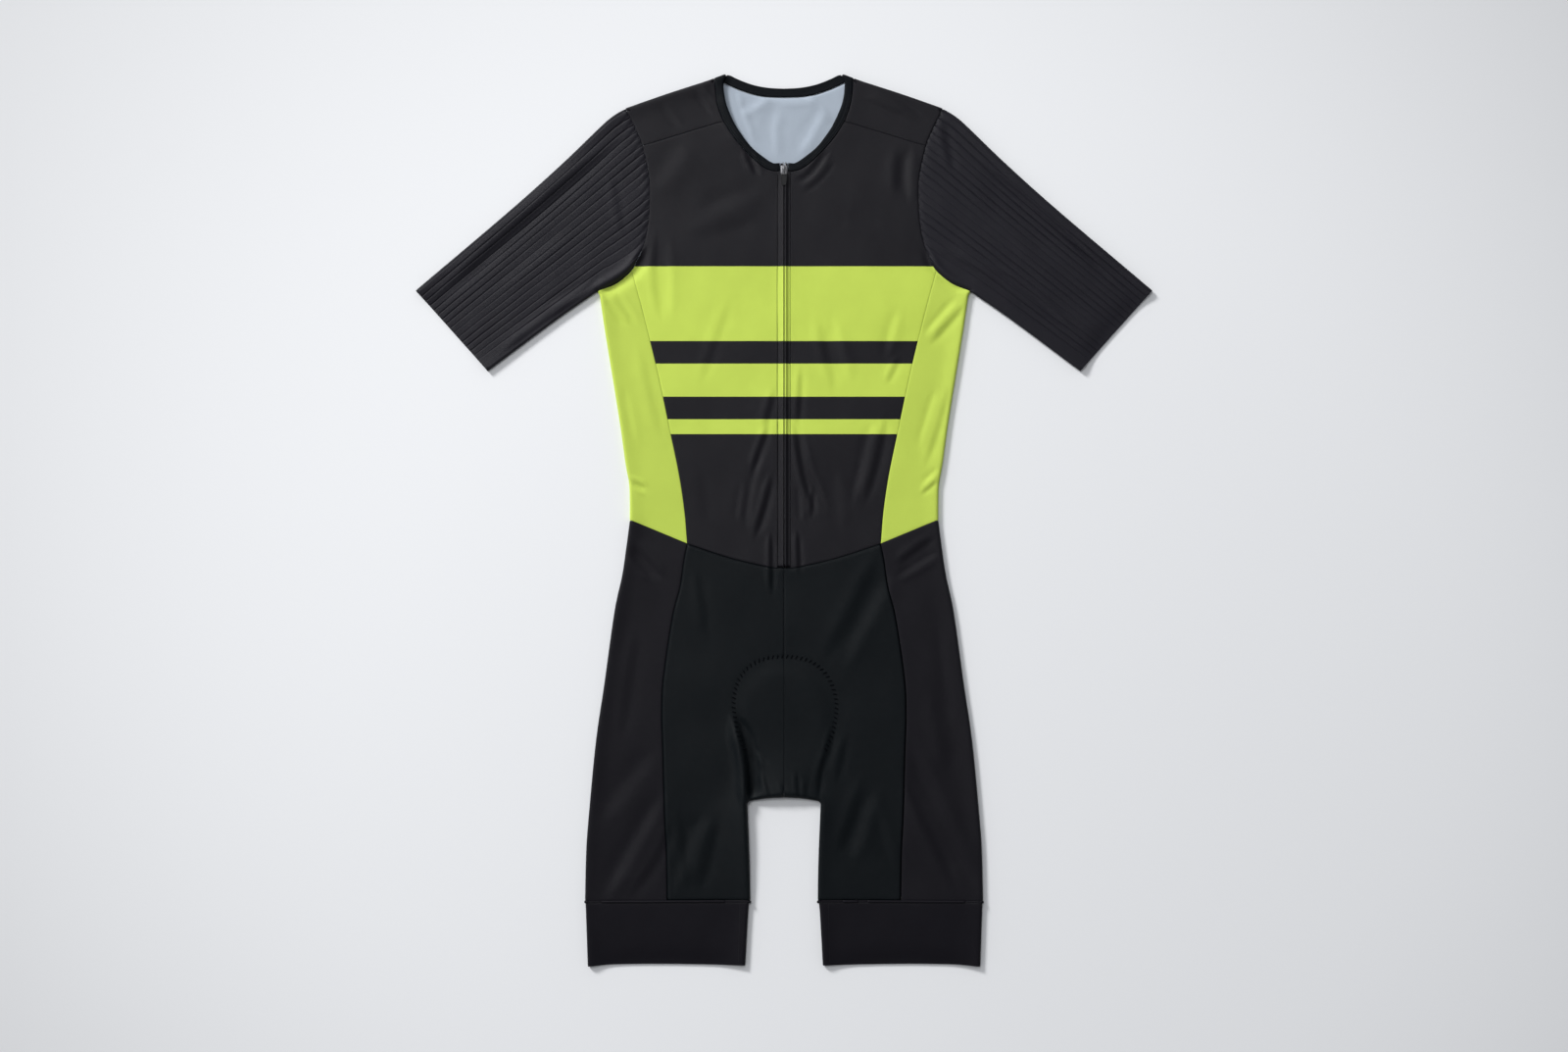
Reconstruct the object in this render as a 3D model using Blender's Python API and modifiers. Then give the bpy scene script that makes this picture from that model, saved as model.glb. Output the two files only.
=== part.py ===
"""Cycling speedsuit with sleeves to the elbow and short legs, laid flat on its back, zip closed.

The floor is z = 0 and the head end points to +Y. Sizes below are in millimetres, and MM turns them
into metres when a mesh is made. The plan is worked out for the right half (+X); the left half is its
mirror image, and only the heights of the folds differ. The back layer lies flat on the floor, the
front layer lies on it, and the two turn into each other round soft folds at the sides, the shoulders,
the crotch and the inner legs.
"""

import math
from collections import namedtuple

import bmesh
import bpy
import numpy as np

MM = 0.001

# Driving sizes
WALL = 1.0                  # cloth
BINDING_WALL = 1.6          # doubled cloth round the neck
SEAM_GAP = 0.3              # between neighbouring pieces
BASE = 3.0                  # middle of the front layer above the floor, away from folds
EDGE = 4.0                  # the same at a folded edge
ROLL = 14.0                 # how far a folded edge's roundness reaches
LOWEST = 2.2                # the front layer never comes lower than this
ARC = 4                     # facets round a folded edge

WAIST_SIDE = (177.6, -0.6)
WAIST_JOINT = (111.5, -27.0)
ZIP_HALF = 7.5              # half the visible width of the zip
ZIP_TOP = 411.0
BINDING_END = 4.6           # where the neck binding stops beside the slider
GRIPPER_Y = -438.5
GRIPPER_JOINT_X = 134.9
SIDE_RETURN = 28.0          # how far the side pieces reach round to the back
INNER_RETURN = 16.0         # the same at the crotch and inner legs
ARMPIT = (213.1, 264.3)
ARMPIT_FILLET = 8.0
CROTCH_FILLET = 10.0
CUFF_UPPER = (424.2, 264.3)
CUFF_LOWER = (341.3, 171.2)

RIBS = 17                   # ribs across the front of a sleeve
RIB_HEIGHT = 0.7

# Outer shape of the right half, each row one point: x, y
SHOULDER_LINE = [(67.6, 513.6), (74.6, 510.8), (80.8, 508.6), (90.0, 505.2), (136.0, 490.3), (182.6, 474.0)]
SLEEVE_UPPER = [(182.6, 474.0), (198.9, 463.6), (213.1, 451.0), (255.8, 409.9), (315.9, 356.1), CUFF_UPPER]
SLEEVE_LOWER = [ARMPIT, (265.3, 227.9), CUFF_LOWER]
SIDE_EDGE = [ARMPIT, (206.0, 216.0), (197.0, 161.0), (188.7, 109.0), (182.4, 64.0), (178.4, 42.0),
             (177.6, 21.0), WAIST_SIDE]
LEG_OUTER_EDGE = [WAIST_SIDE, (181.6, -31.0), (186.5, -64.0), (195.4, -106.0), (207.2, -190.0),
                  (216.7, -255.0), (224.6, -337.0), (227.8, -381.0), (229.2, GRIPPER_Y)]
LEG_INNER_EDGE = [(38.8, GRIPPER_Y), (39.5, -395.0), (41.2, -350.0), (42.3, -324.0)]
CROTCH_EDGE = [(42.3, -324.0), (33.0, -322.2), (20.0, -320.3), (0.0, -319.2)]
GRIPPER_OUTER = [(229.2, GRIPPER_Y), (228.3, -447.0), (226.0, -513.75)]
GRIPPER_INNER = [(44.7, -512.6), (40.9, -447.0), (38.8, GRIPPER_Y)]
HEM = [(44.7, -512.6), (135.0, -511.0), (195.0, -511.6), (226.0, -513.75)]

# Seams on the front of the right half
WAIST_SEAM = [(0.0, -54.6), (15.0, -54.2), (60.0, -43.8), WAIST_JOINT, WAIST_SIDE]
BACK_WAIST = [(0.0, 3.0), (75.0, 1.6), (149.6, -0.6)]
PRINCESS_SEAM = [(175.5, 287.0), (162.7, 240.0), (145.2, 169.0), (131.0, 101.5), (120.8, 52.0),
                 (114.7, 11.0), WAIST_JOINT]
LEG_SEAM = [WAIST_JOINT, (115.5, -46.0), (120.2, -77.5), (128.9, -112.0), (139.3, -182.0), (141.2, -223.0),
            (139.8, -271.0), (138.0, -338.0), (135.9, -381.0), (GRIPPER_JOINT_X, GRIPPER_Y)]
YOKE_SEAM = [(69.8, 458.5), (88.0, 453.5), (145.0, 436.0), (163.0, 430.9)]
BINDING_SEAM = [(BINDING_END, 401.6), (12.1, 401.6), (24.1, 406.2), (41.0, 420.9), (57.9, 440.1),
                (69.8, 458.5)]
BINDING_SEAM_UPPER = [(69.8, 458.5), (75.6, 474.0), (78.6, 489.0)]
BINDING_FREE = [(BINDING_END, ZIP_TOP), (13.2, 411.2), (24.1, 418.3), (38.5, 430.4), (53.0, 449.7),
                (60.6, 464.0)]
BINDING_FREE_UPPER = [(60.6, 464.0), (66.0, 477.0), (68.9, 490.0), (69.6, 504.0)]
BACK_NECK_SEAM = [(70.9, 504.6), (50.6, 495.5), (26.6, 488.7), (0.0, 487.2)]
BACK_NECK_FREE = [(54.0, 507.6), (36.2, 500.6), (18.0, 497.0), (0.0, 496.0)]

# The armhole seam between shoulder and armpit, with the sleeve's rib that ends at each point.
# Past the last rib the seam runs along the sleeve's lower side to the armpit.
ArmholePoint = namedtuple("ArmholePoint", "rib x y")
ARMHOLE = [
    ArmholePoint(2.7, 170.4, 449.4),
    ArmholePoint(5.0, 163.0, 430.9),
    ArmholePoint(8.8, 155.3, 395.6),
    ArmholePoint(11.4, 154.6, 367.1),
    ArmholePoint(13.5, 156.2, 341.8),
    ArmholePoint(15.3, 161.4, 316.5),
    ArmholePoint(16.4, 169.2, 298.5),
    ArmholePoint(17.0, 175.5, 287.0),
    ArmholePoint(17.5, 193.0, 272.4),
]
YOKE_RIB = 5
ARMPIT_MARK = 18.0
UNDERARM_MARKS = [17.0, 17.25, 17.5, 17.75, ARMPIT_MARK]
ARMHOLE_MARKS = [float(rib) for rib in range(RIBS)] + UNDERARM_MARKS
BACK_MARKS = [0.0, 2.0, 4.0, 6.0, 8.0, 10.0, 12.0, 14.0, 16.0, 17.0]
SLEEVE_MARKS = [rib / 2 for rib in range(2 * RIBS + 1)]

# Rows down the pieces, as shares of their length
SIDE_SHARES = [0.0, 0.10, 0.20, 0.30, 0.40, 0.51, 0.62, 0.74, 0.87, 1.0]
LEG_UPPER_ROWS = 10
LEG_SPLIT = 0.714           # share of the leg seam that lies above the crotch
LEG_LOWER_SHARES = [0.0, 0.05, 0.12, 0.34, 0.56, 0.78, 1.0]
SLEEVE_SHARES = [0.0, 0.17, 0.34, 0.50, 0.67, 0.83, 1.0]
UNDERARM_SHARE = 0.2        # share of the sleeve's lower side that is armhole seam
BEND_SHARE = 0.03           # share that the rounded armpit takes

# The seat pad between the layers
PAD_CENTRE_Y = -225.0
PAD_HALF_WIDTH = 62.0
PAD_UP = 68.0
PAD_DOWN = 130.0
PAD_RISE = 3.4
PAD_FLOOR = 1.35
PAD_CLEAR = 0.7             # between the pad and the front layer over it
PAD_REACH = 6.0             # the pad keeps below folds this close to it
PadPoint = namedtuple("PadPoint", "half_width y")
PAD_OUTLINE = [
    PadPoint(0.0, -158.0), PadPoint(26.0, -161.0), PadPoint(46.0, -173.0), PadPoint(56.0, -193.0),
    PadPoint(59.0, -212.0), PadPoint(56.0, -231.0), PadPoint(50.0, -248.0), PadPoint(42.0, -266.0),
    PadPoint(38.0, -290.0), PadPoint(33.0, -309.0), PadPoint(0.0, -312.0),
]

# Largest folds of the front layer: soft ridges (rise above 0) and troughs, in true positions
Fold = namedtuple("Fold", "x0 y0 x1 y1 width rise")
FOLDS = [
    # Torso
    Fold(-11.3, 94.4, -28.3, 23.2, 9.0, -0.7), Fold(-28.3, 23.2, -31.6, -16.4, 8.0, -0.6),
    Fold(9.0, 111.3, 17.0, 68.4, 8.0, 0.6), Fold(17.0, 68.4, 36.2, 17.5, 9.0, 0.8),
    Fold(-17.0, -8.0, -14.5, -50.0, 5.0, -0.7), Fold(17.0, -8.0, 16.0, -50.0, 5.0, -0.7),
    Fold(113.0, 113.6, 96.0, 34.5, 14.0, 0.9), Fold(-70.0, 130.0, -84.0, 60.0, 18.0, 0.6),
    Fold(-47.5, 418.7, -28.3, 384.8, 7.0, -0.7), Fold(31.6, 397.2, 50.9, 416.4, 5.0, -0.8),
    Fold(145.8, 418.7, 144.0, 376.0, 6.0, 1.0), Fold(-135.6, 407.4, -113.0, 430.0, 14.0, 0.7),
    Fold(209.0, 249.2, 169.5, 204.0, 9.0, -0.7), Fold(186.5, 147.5, 163.9, 68.4, 10.0, 0.8),
    Fold(-205.0, 232.0, -172.0, 190.0, 10.0, -0.6), Fold(-178.5, 48.0, -160.0, 38.0, 5.0, -0.8),
    Fold(178.5, 48.0, 160.0, 33.0, 5.0, -0.8),
    # Shorts
    Fold(98.1, -65.0, 47.5, -175.7, 15.0, -0.8), Fold(176.3, -39.0, 130.0, -67.2, 9.0, 0.8),
    Fold(-180.8, -33.3, -150.0, -67.2, 9.0, -0.7), Fold(-142.4, -327.1, -198.9, -425.4, 10.0, 1.0),
    Fold(-123.2, -343.0, -114.1, -402.8, 9.0, -0.6), Fold(-96.0, -361.0, -124.3, -411.9, 9.0, 0.8),
    Fold(104.0, -323.7, 76.8, -383.6, 9.0, 0.9), Fold(104.0, -323.7, 123.2, -374.6, 8.0, 0.8),
    Fold(152.6, -276.3, 214.7, -406.2, 12.0, 0.9), Fold(-60.0, -232.0, -45.0, -270.6, 7.0, -1.4),
    Fold(-45.0, -270.6, -41.5, -316.0, 7.0, -2.0), Fold(60.0, -231.0, 44.0, -290.0, 7.0, -1.4),
    Fold(44.0, -290.0, 42.5, -316.0, 7.0, -1.8), Fold(-27.1, -293.2, -16.5, -317.0, 6.0, -0.9),
    Fold(13.6, -293.2, 15.8, -317.0, 5.0, -0.8),
    # Sleeves
    Fold(-196.6, 446.0, -408.0, 253.0, 8.0, -0.9), Fold(198.0, 444.0, 406.0, 255.0, 9.0, -0.7),
    Fold(180.8, 452.0, 190.0, 400.0, 10.0, -0.8), Fold(-262.0, 242.0, -222.0, 272.0, 8.0, -0.8),
    Fold(262.0, 246.0, 216.0, 282.0, 9.0, -0.6), Fold(-330.0, 268.0, -250.0, 330.0, 22.0, 0.5),
    Fold(340.0, 262.0, 258.0, 336.0, 22.0, 0.5),
]

# Zip slider and pull
SLIDER_Y = (397.4, 410.8)
SLIDER_HALF = 4.2
PLATE = 0.8
POST_HALF = 0.8
BAIL_HALF = 0.7
SLIDER_LOWER_Z = 1.4
SLIDER_UPPER_Z = 3.8
PIVOT_Y = 402.0
PIVOT_Z = 5.45
LINK_RADIUS = 0.5
LINK_HALF = 2.3
GRIP_Y = (384.6, 396.9)
GRIP_Z = 5.3
GRIP_THICK = 1.7
GRIP_HALF = 3.9


# Curves in the plan

def smooth(points, steps=24):
    """A fine Catmull-Rom curve through the given points."""
    p = np.array(points, float)
    if len(p) == 2:
        return p
    p = np.vstack([2 * p[0] - p[1], p, 2 * p[-1] - p[-2]])
    t = np.linspace(0, 1, steps, endpoint=False)[:, None]
    runs = [
        0.5 * (2 * b + (c - a) * t + (2 * a - 5 * b + 4 * c - d) * t**2 + (3 * b - a - 3 * c + d) * t**3)
        for a, b, c, d in zip(p, p[1:], p[2:], p[3:])
    ]
    return np.vstack(runs + [p[-2:-1]])


def at_shares(points, shares):
    """Points of the smooth curve at the given shares of its length."""
    fine = smooth(points)
    run = np.concatenate([[0], np.cumsum(np.linalg.norm(np.diff(fine, axis=0), axis=1))])
    wanted = np.array(shares) * run[-1]
    return np.stack([np.interp(wanted, run, fine[:, k]) for k in (0, 1)], axis=1)


def evenly(points, count):
    return at_shares(points, np.linspace(0, 1, count + 1))


def shares_of(points):
    """The share of a polyline's length that each of its points has reached."""
    run = np.concatenate([[0], np.cumsum(np.linalg.norm(np.diff(points, axis=0), axis=1))])
    return run / run[-1]


def normals_of(points):
    """Unit normals on the left of a polyline, each the mean of the two runs that meet there."""
    runs = np.diff(points, axis=0)
    runs /= np.linalg.norm(runs, axis=1)[:, None]
    left = np.stack([-runs[:, 1], runs[:, 0]], axis=1)
    mean = np.vstack([left[:1], left[:-1] + left[1:], left[-1:]])
    return mean / np.linalg.norm(mean, axis=1)[:, None]


def fillet(before, corner, after, reach):
    """Five points that round a corner between two straight runs."""
    corner = np.array(corner, float)
    start = corner + reach * unit(np.array(before) - corner)
    end = corner + reach * unit(np.array(after) - corner)
    t = np.linspace(0, 1, 5)[:, None]
    return (1 - t)**2 * start + 2 * t * (1 - t) * corner + t**2 * end


def unit(vector):
    return vector / np.linalg.norm(vector)


# The folded outline of the right half. Each edge is (points, outward normals).
# Travelling along them, the open floor is always on the left.

def outline():
    edges = {}
    shoulder = np.vstack([np.array(SHOULDER_LINE[:2]), evenly(SHOULDER_LINE[2:], 5)])
    upper = at_shares(SLEEVE_UPPER, sleeve_shares())
    points = np.vstack([shoulder, upper[1:]])
    normal = normals_of(points)
    edges["neck fold"] = (points[:3], normal[:3])
    edges["shoulder"] = (points[2:8], normal[2:8])
    edges["sleeve upper"] = (points[7:], normal[7:])

    bend = fillet(SLEEVE_LOWER[1], ARMPIT, SIDE_EDGE[1], ARMPIT_FILLET)
    lower = at_shares([tuple(bend[0])] + SLEEVE_LOWER[1:], SLEEVE_SHARES)
    side = at_shares([tuple(bend[4])] + SIDE_EDGE[1:], SIDE_SHARES)
    leg = at_shares(LEG_OUTER_EDGE, leg_shares())
    band = evenly(GRIPPER_OUTER, 3)
    points = np.vstack([lower[::-1], bend[1:4], side, leg[1:], band[1:]])
    normal = normals_of(points)
    armpit = len(lower) + 1
    waist = armpit + 2 + len(side) - 1
    grip = waist + len(leg) - 1
    edges["sleeve lower"] = (points[:armpit + 1][::-1], normal[:armpit + 1][::-1])
    edges["side"] = (points[armpit:waist + 1], normal[armpit:waist + 1])
    edges["leg outer"] = (points[waist:grip + 1], normal[waist:grip + 1])
    edges["gripper outer"] = (points[grip:], normal[grip:])

    bend = fillet(LEG_INNER_EDGE[-2], CROTCH_EDGE[0], CROTCH_EDGE[1], CROTCH_FILLET)
    band = evenly(GRIPPER_INNER, 3)
    inner = evenly(LEG_INNER_EDGE[:-1] + [tuple(bend[0])], 4)
    crotch = evenly([tuple(bend[4])] + CROTCH_EDGE[2:], 4)
    points = np.vstack([band, inner[1:], bend[1:4], crotch])
    normal = normals_of(points)
    normal[-1] = (0.0, -1.0)
    grip = len(band) - 1
    edges["gripper inner"] = (points[:grip + 1][::-1], normal[:grip + 1][::-1])
    edges["inner"] = (points[grip:][::-1], normal[grip:][::-1])
    return edges


def sleeve_shares():
    """Rows along the sleeve: beside the underarm seam, round the armpit's bend, and on to the cuff."""
    underarm = np.linspace(0, UNDERARM_SHARE, len(UNDERARM_MARKS))
    bend = UNDERARM_SHARE + BEND_SHARE
    rest = bend + (1 - bend) * np.array(SLEEVE_SHARES)
    return np.concatenate([underarm, [bend - BEND_SHARE / 2], rest])


def leg_shares():
    upper = np.linspace(0, LEG_SPLIT, LEG_UPPER_ROWS + 1)
    lower = LEG_SPLIT + (1 - LEG_SPLIT) * np.array(LEG_LOWER_SHARES)
    return np.concatenate([upper, lower[1:]])


# Heights of the front layer

def distance(xy, points):
    """Distance of each plan point to a polyline."""
    best = np.full(xy.shape[:-1], 1e9)
    for a, b in zip(points, points[1:]):
        run = b - a
        share = np.clip(((xy - a) @ run) / (run @ run), 0, 1)
        gap = np.linalg.norm(xy - (a + share[..., None] * run), axis=-1)
        best = np.minimum(best, gap)
    return best


def ease(value):
    value = np.clip(value, 0, 1)
    return value * value * (3 - 2 * value)


def pad_height(xy):
    """How far the seat pad lifts the front layer."""
    reach = np.where(xy[..., 1] > PAD_CENTRE_Y, PAD_UP, PAD_DOWN)
    rho = np.hypot(xy[..., 0] / PAD_HALF_WIDTH, (xy[..., 1] - PAD_CENTRE_Y) / reach)
    return PAD_RISE * ease((1 - rho) / 0.35)


def front_height(xy, side):
    """Middle of the front layer above the floor at a point of the right half's plan."""
    true = np.stack([side * xy[..., 0], xy[..., 1]], axis=-1)
    away = np.full(xy.shape[:-1], 1e9)
    for name, (points, _) in EDGES.items():
        away = np.minimum(away, distance(xy, points))
    roll = np.exp(-(away / ROLL)**2)
    rise = np.zeros_like(away)
    for fold in FOLDS:
        ends = np.array([(fold.x0, fold.y0), (fold.x1, fold.y1)])
        rise += fold.rise * np.exp(-(distance(true, ends) / fold.width)**2)
    zip_zone = np.exp(-(xy[..., 0] / 9.0)**2) * (xy[..., 1] > WAIST_SEAM[0][1] - 1)
    rise *= (1 - roll) * (1 - zip_zone)
    return np.maximum(BASE + (EDGE - BASE) * roll + rise + pad_height(xy), LOWEST)


def raised(xy, side):
    """Plan points lifted on to the front layer."""
    return np.concatenate([xy, front_height(xy, side)[..., None]], axis=-1)


def laid(xy, wall=WALL):
    """Plan points on the floor."""
    return np.concatenate([xy, np.full(xy.shape[:-1] + (1,), wall / 2)], axis=-1)


def turn_line(edge, side, wall=WALL):
    """Where the front layer starts to turn round a folded edge, and the radius of the turn."""
    points, normal = edge
    radius = np.full(len(points), (EDGE - wall / 2) / 2)
    for _ in range(4):
        line = points - normal * (radius + wall / 2)[:, None]
        radius = (front_height(line, side) - wall / 2) / 2
    return line, radius


def turn(edge, side, wall=WALL):
    """Rows of points that carry a folded edge from the front layer down to the back one."""
    line, radius = turn_line(edge, side, wall)
    angle = np.linspace(0, math.pi, ARC + 1)
    out = radius[:, None] * np.sin(angle)
    xy = line[:, None, :] + edge[1][:, None, :] * out[..., None]
    z = wall / 2 + radius[:, None] * (1 + np.cos(angle))
    return np.concatenate([xy, z[..., None]], axis=-1)


def inset(edge, width):
    return edge[0] - edge[1] * width


def patch(top, bottom, left, right, across=None, down=None):
    """Plan grid between four seams. Top and bottom run to the right, left and right run down."""
    if across is None:
        across = (shares_of(top) + shares_of(bottom)) / 2
    if down is None:
        down = (shares_of(left) + shares_of(right)) / 2
    u = across[None, :, None]
    v = down[:, None, None]
    flat = (1 - u) * (1 - v) * top[0] + u * (1 - v) * top[-1] + (1 - u) * v * bottom[0] + u * v * bottom[-1]
    return (1 - v) * top[None] + v * bottom[None] + (1 - u) * left[:, None] + u * right[:, None] - flat


# Seams that two pieces share

def armhole(side):
    """The armhole seam on the plan, a row for each of ARMHOLE_MARKS."""
    first = turn_line(tuple(part[:1] for part in EDGES["sleeve upper"]), side)[0][0]
    last = turn_line(tuple(part[:1] for part in EDGES["sleeve lower"]), side)[0][0]
    marks = [0.0] + [row.rib for row in ARMHOLE] + [ARMPIT_MARK]
    points = [tuple(first)] + [(row.x, row.y) for row in ARMHOLE] + [tuple(last)]
    fine = smooth(points)
    fine_marks = np.interp(np.linspace(0, len(marks) - 1, len(fine)), range(len(marks)), marks)
    return np.stack([np.interp(ARMHOLE_MARKS, fine_marks, fine[:, k]) for k in (0, 1)], axis=1)


def armhole_at(side, marks):
    seam = armhole(side)
    return np.stack([np.interp(marks, ARMHOLE_MARKS, seam[:, k]) for k in (0, 1)], axis=1)


def binding_seam_upper(side, count):
    """The neck binding's outer seam from the yoke seam to the shoulder fold."""
    end = turn_line(tuple(part[:1] for part in EDGES["shoulder"]), side)[0][0]
    return evenly(BINDING_SEAM_UPPER + [tuple(end)], count)


def waist_inner():
    """The waist seam from the middle, past the zip tape, to the side panel."""
    return np.vstack([WAIST_SEAM[:1], evenly([(ZIP_HALF, -54.5)] + WAIST_SEAM[1:4], 9)])


def waist_outer(side):
    end = turn_line(tuple(part[-1:] for part in EDGES["side"]), side)[0][0]
    return evenly([WAIST_JOINT, tuple(end)], 4)


# Meshes

def mesh_of(name, bm, side):
    """Mesh in metres, mirrored for the left side."""
    for vert in bm.verts:
        vert.co = (vert.co.x * side * MM, vert.co.y * MM, vert.co.z * MM)
    if side < 0:
        bmesh.ops.reverse_faces(bm, faces=bm.faces)
    mesh = bpy.data.meshes.new(name)
    bm.to_mesh(mesh)
    bm.free()
    mesh.shade_smooth()
    mesh.set_sharp_from_angle(angle=math.radians(40))
    return mesh


def node(name, mesh, collection, finish):
    obj = bpy.data.objects.new(name, mesh)
    mesh.materials.append(finish)
    collection.objects.link(obj)
    return obj


def add_grid(bm, grid, ring=False):
    """Faces over a grid of points. A ring's last column joins its first."""
    rows, columns = grid.shape[:2]
    verts = [[bm.verts.new(point) for point in row] for row in grid]
    for j in range(rows - 1):
        for i in range(columns if ring else columns - 1):
            k = (i + 1) % columns
            bm.faces.new((verts[j][i], verts[j + 1][i], verts[j + 1][k], verts[j][k]))
    return verts


def draw_back(bm, distance_back=SEAM_GAP / 2):
    """Moves every open edge back in its own surface, which leaves the gap at the seams."""
    pulls = {}
    for edge in bm.edges:
        if not edge.is_boundary:
            continue
        face = edge.link_faces[0]
        run = (edge.verts[1].co - edge.verts[0].co).normalized()
        inward = face.normal.cross(run)
        loop = edge.link_loops[0]
        if loop.vert != edge.verts[0]:
            inward = -inward
        inward.normalize()
        for vert in edge.verts:
            pulls.setdefault(vert, []).append(inward)
    for vert, inward in pulls.items():
        if len(inward) == 1:
            vert.co += inward[0] * distance_back
            continue
        share = max(1 + inward[0].dot(inward[1]), 0.4)
        vert.co += (inward[0] + inward[1]) * (distance_back / share)


def cloth(name, grids, side, collection, finish, wall=WALL, ring=False, outlines=()):
    """A cloth piece: the grids and flat outlines are welded, drawn back at seams and given a wall."""
    bm = bmesh.new()
    for grid in grids:
        add_grid(bm, grid, ring)
    for points in outlines:
        bm.faces.new([bm.verts.new(point) for point in points])
    bmesh.ops.remove_doubles(bm, verts=bm.verts, dist=0.02)
    bm.normal_update()
    draw_back(bm)
    obj = node(name, mesh_of(name, bm, side), collection, finish)
    wall_of = obj.modifiers.new("Wall", "SOLIDIFY")
    wall_of.thickness = wall * MM
    wall_of.offset = 0.0
    wall_of.use_even_offset = True
    return obj


# Cloth pieces

def front_grid(side):
    """Torso front between zip, neck binding, yoke seam, armhole, side panel and waist."""
    top = np.vstack([evenly([(ZIP_HALF, 401.6)] + BINDING_SEAM[1:], 5), evenly(YOKE_SEAM, 4)[1:]])
    bottom = waist_inner()[1:]
    right = np.vstack([armhole(side)[YOKE_RIB:RIBS + 1], princess()[1:]])
    share = shares_of(right)
    left = np.stack([np.full(len(share), ZIP_HALF), 401.6 + share * (-54.5 - 401.6)], axis=1)
    return raised(patch(top, bottom, left, right), side)


def princess():
    """The seam between front and side panel, with the side edge's rows."""
    return at_shares(PRINCESS_SEAM, shares_of(EDGES["side"][0]))


def side_grid(side):
    """Side panel: front, round the fold, and on to the back."""
    edge = EDGES["side"]
    line = turn_line(edge, side)[0]
    front = raised(patch(armhole(side)[RIBS:], waist_outer(side), princess(), line), side)
    round_edge = turn(edge, side)
    return np.concatenate([front[:, :-1], round_edge, side_return(side)[:, 1:]], axis=1)


def side_return(side):
    """The side panel's part on the back, from the fold to the back seam."""
    edge = EDGES["side"]
    line = turn_line(edge, side)[0]
    top = armhole_at(side, UNDERARM_MARKS[::-1])
    foot = inset(tuple(part[-1:] for part in edge), SIDE_RETURN)[0]
    seam = at_shares([tuple(top[-1]), (163.0, 150.0), (152.0, 60.0), tuple(foot)], shares_of(edge[0]))
    return laid(patch(top, evenly([tuple(line[-1]), tuple(foot)], 4), line, seam))


def leg_seam():
    return at_shares(LEG_SEAM, leg_shares())


def leg_outer_grid(side):
    edge = EDGES["leg outer"]
    line = turn_line(edge, side)[0]
    bottom = evenly([(GRIPPER_JOINT_X, GRIPPER_Y), tuple(line[-1])], 4)
    front = raised(patch(waist_outer(side), bottom, leg_seam(), line), side)
    back = laid(patch(
        evenly([tuple(line[0]), tuple(inset(edge, SIDE_RETURN)[0])], 1),
        evenly([tuple(line[-1]), tuple(inset(edge, SIDE_RETURN)[-1])], 1),
        line, inset(edge, SIDE_RETURN)))
    return np.concatenate([front[:, :-1], turn(edge, side), back[:, 1:]], axis=1)


def leg_front_grids(side):
    """Shorts front: the part above the crotch, the leg below it, and the fold on to the back."""
    edge = EDGES["inner"]
    line = turn_line(edge, side)[0]
    corner = 6
    seam = leg_seam()
    split = evenly([tuple(line[corner]), tuple(seam[LEG_UPPER_ROWS])], 4)
    top = waist_inner()
    centre = evenly([tuple(top[0]), tuple(line[0])], LEG_UPPER_ROWS)
    upper = patch(top, np.vstack([line[:corner + 1], split[1:]]), centre, seam[:LEG_UPPER_ROWS + 1])
    bottom = evenly([tuple(line[-1]), (GRIPPER_JOINT_X, GRIPPER_Y)], 4)
    lower = patch(split, bottom, line[corner:], seam[LEG_UPPER_ROWS:])
    far = inset(edge, INNER_RETURN)
    far[0, 0] = 0.0
    back = laid(np.stack([line, far], axis=1))
    fold = np.concatenate([turn(edge, side), back[:, 1:]], axis=1)
    return [raised(upper, side), raised(lower, side), fold[:, ::-1]]


def seat_outline(side):
    inner = inset(EDGES["inner"], INNER_RETURN)
    inner[0, 0] = 0.0
    outer = inset(EDGES["leg outer"], SIDE_RETURN)
    return laid(np.vstack([evenly(BACK_WAIST, 4)[:-1], outer, inner[::-1]]))


def gripper_grid(side):
    """Leg band: front, outer fold, back and inner fold, one closed ring a row."""
    outer = EDGES["gripper outer"]
    inner = EDGES["gripper inner"]
    outer_line = turn_line(outer, side)[0]
    inner_line = turn_line(inner, side)[0]
    hem = evenly([tuple(inner_line[-1])] + HEM[1:-1] + [tuple(outer_line[-1])], 8)
    top = evenly([tuple(inner_line[0]), tuple(outer_line[0])], 8)
    front = raised(patch(top, hem, inner_line, outer_line), side)
    back = laid(patch(top, hem, inner_line, outer_line))[:, ::-4]
    return np.concatenate(
        [front[:, :-1], turn(outer, side), back[:, 1:-1], turn(inner, side)[:, :0:-1]], axis=1)


def yoke_grids(side):
    """The back's part over one shoulder: round the fold and down to the forward seam."""
    edge = EDGES["shoulder"]
    line = turn_line(edge, side)[0]
    bottom = evenly(YOKE_SEAM, 5)
    left = binding_seam_upper(side, YOKE_RIB)[::-1]
    right = armhole(side)[:YOKE_RIB + 1]
    front = raised(patch(line, bottom, left, right), side)
    return [front, turn(edge, side).transpose(1, 0, 2)[::-1]]


def back_half(side):
    """Outline of the back's flat part from the middle of the neck to the middle of the waist."""
    shoulder = turn_line(EDGES["shoulder"], side)[0]
    neck = evenly(BACK_NECK_SEAM, 5)[::-1]
    arm = armhole_at(side, BACK_MARKS[1:])
    seam = side_return(side)[:, -1, :2]
    waist = evenly(BACK_WAIST, 4)[::-1]
    return laid(np.vstack([neck, shoulder, arm, seam[1:], waist[1:]]))


def mirrored(points):
    return points * np.array([-1.0, 1.0, 1.0])


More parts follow.
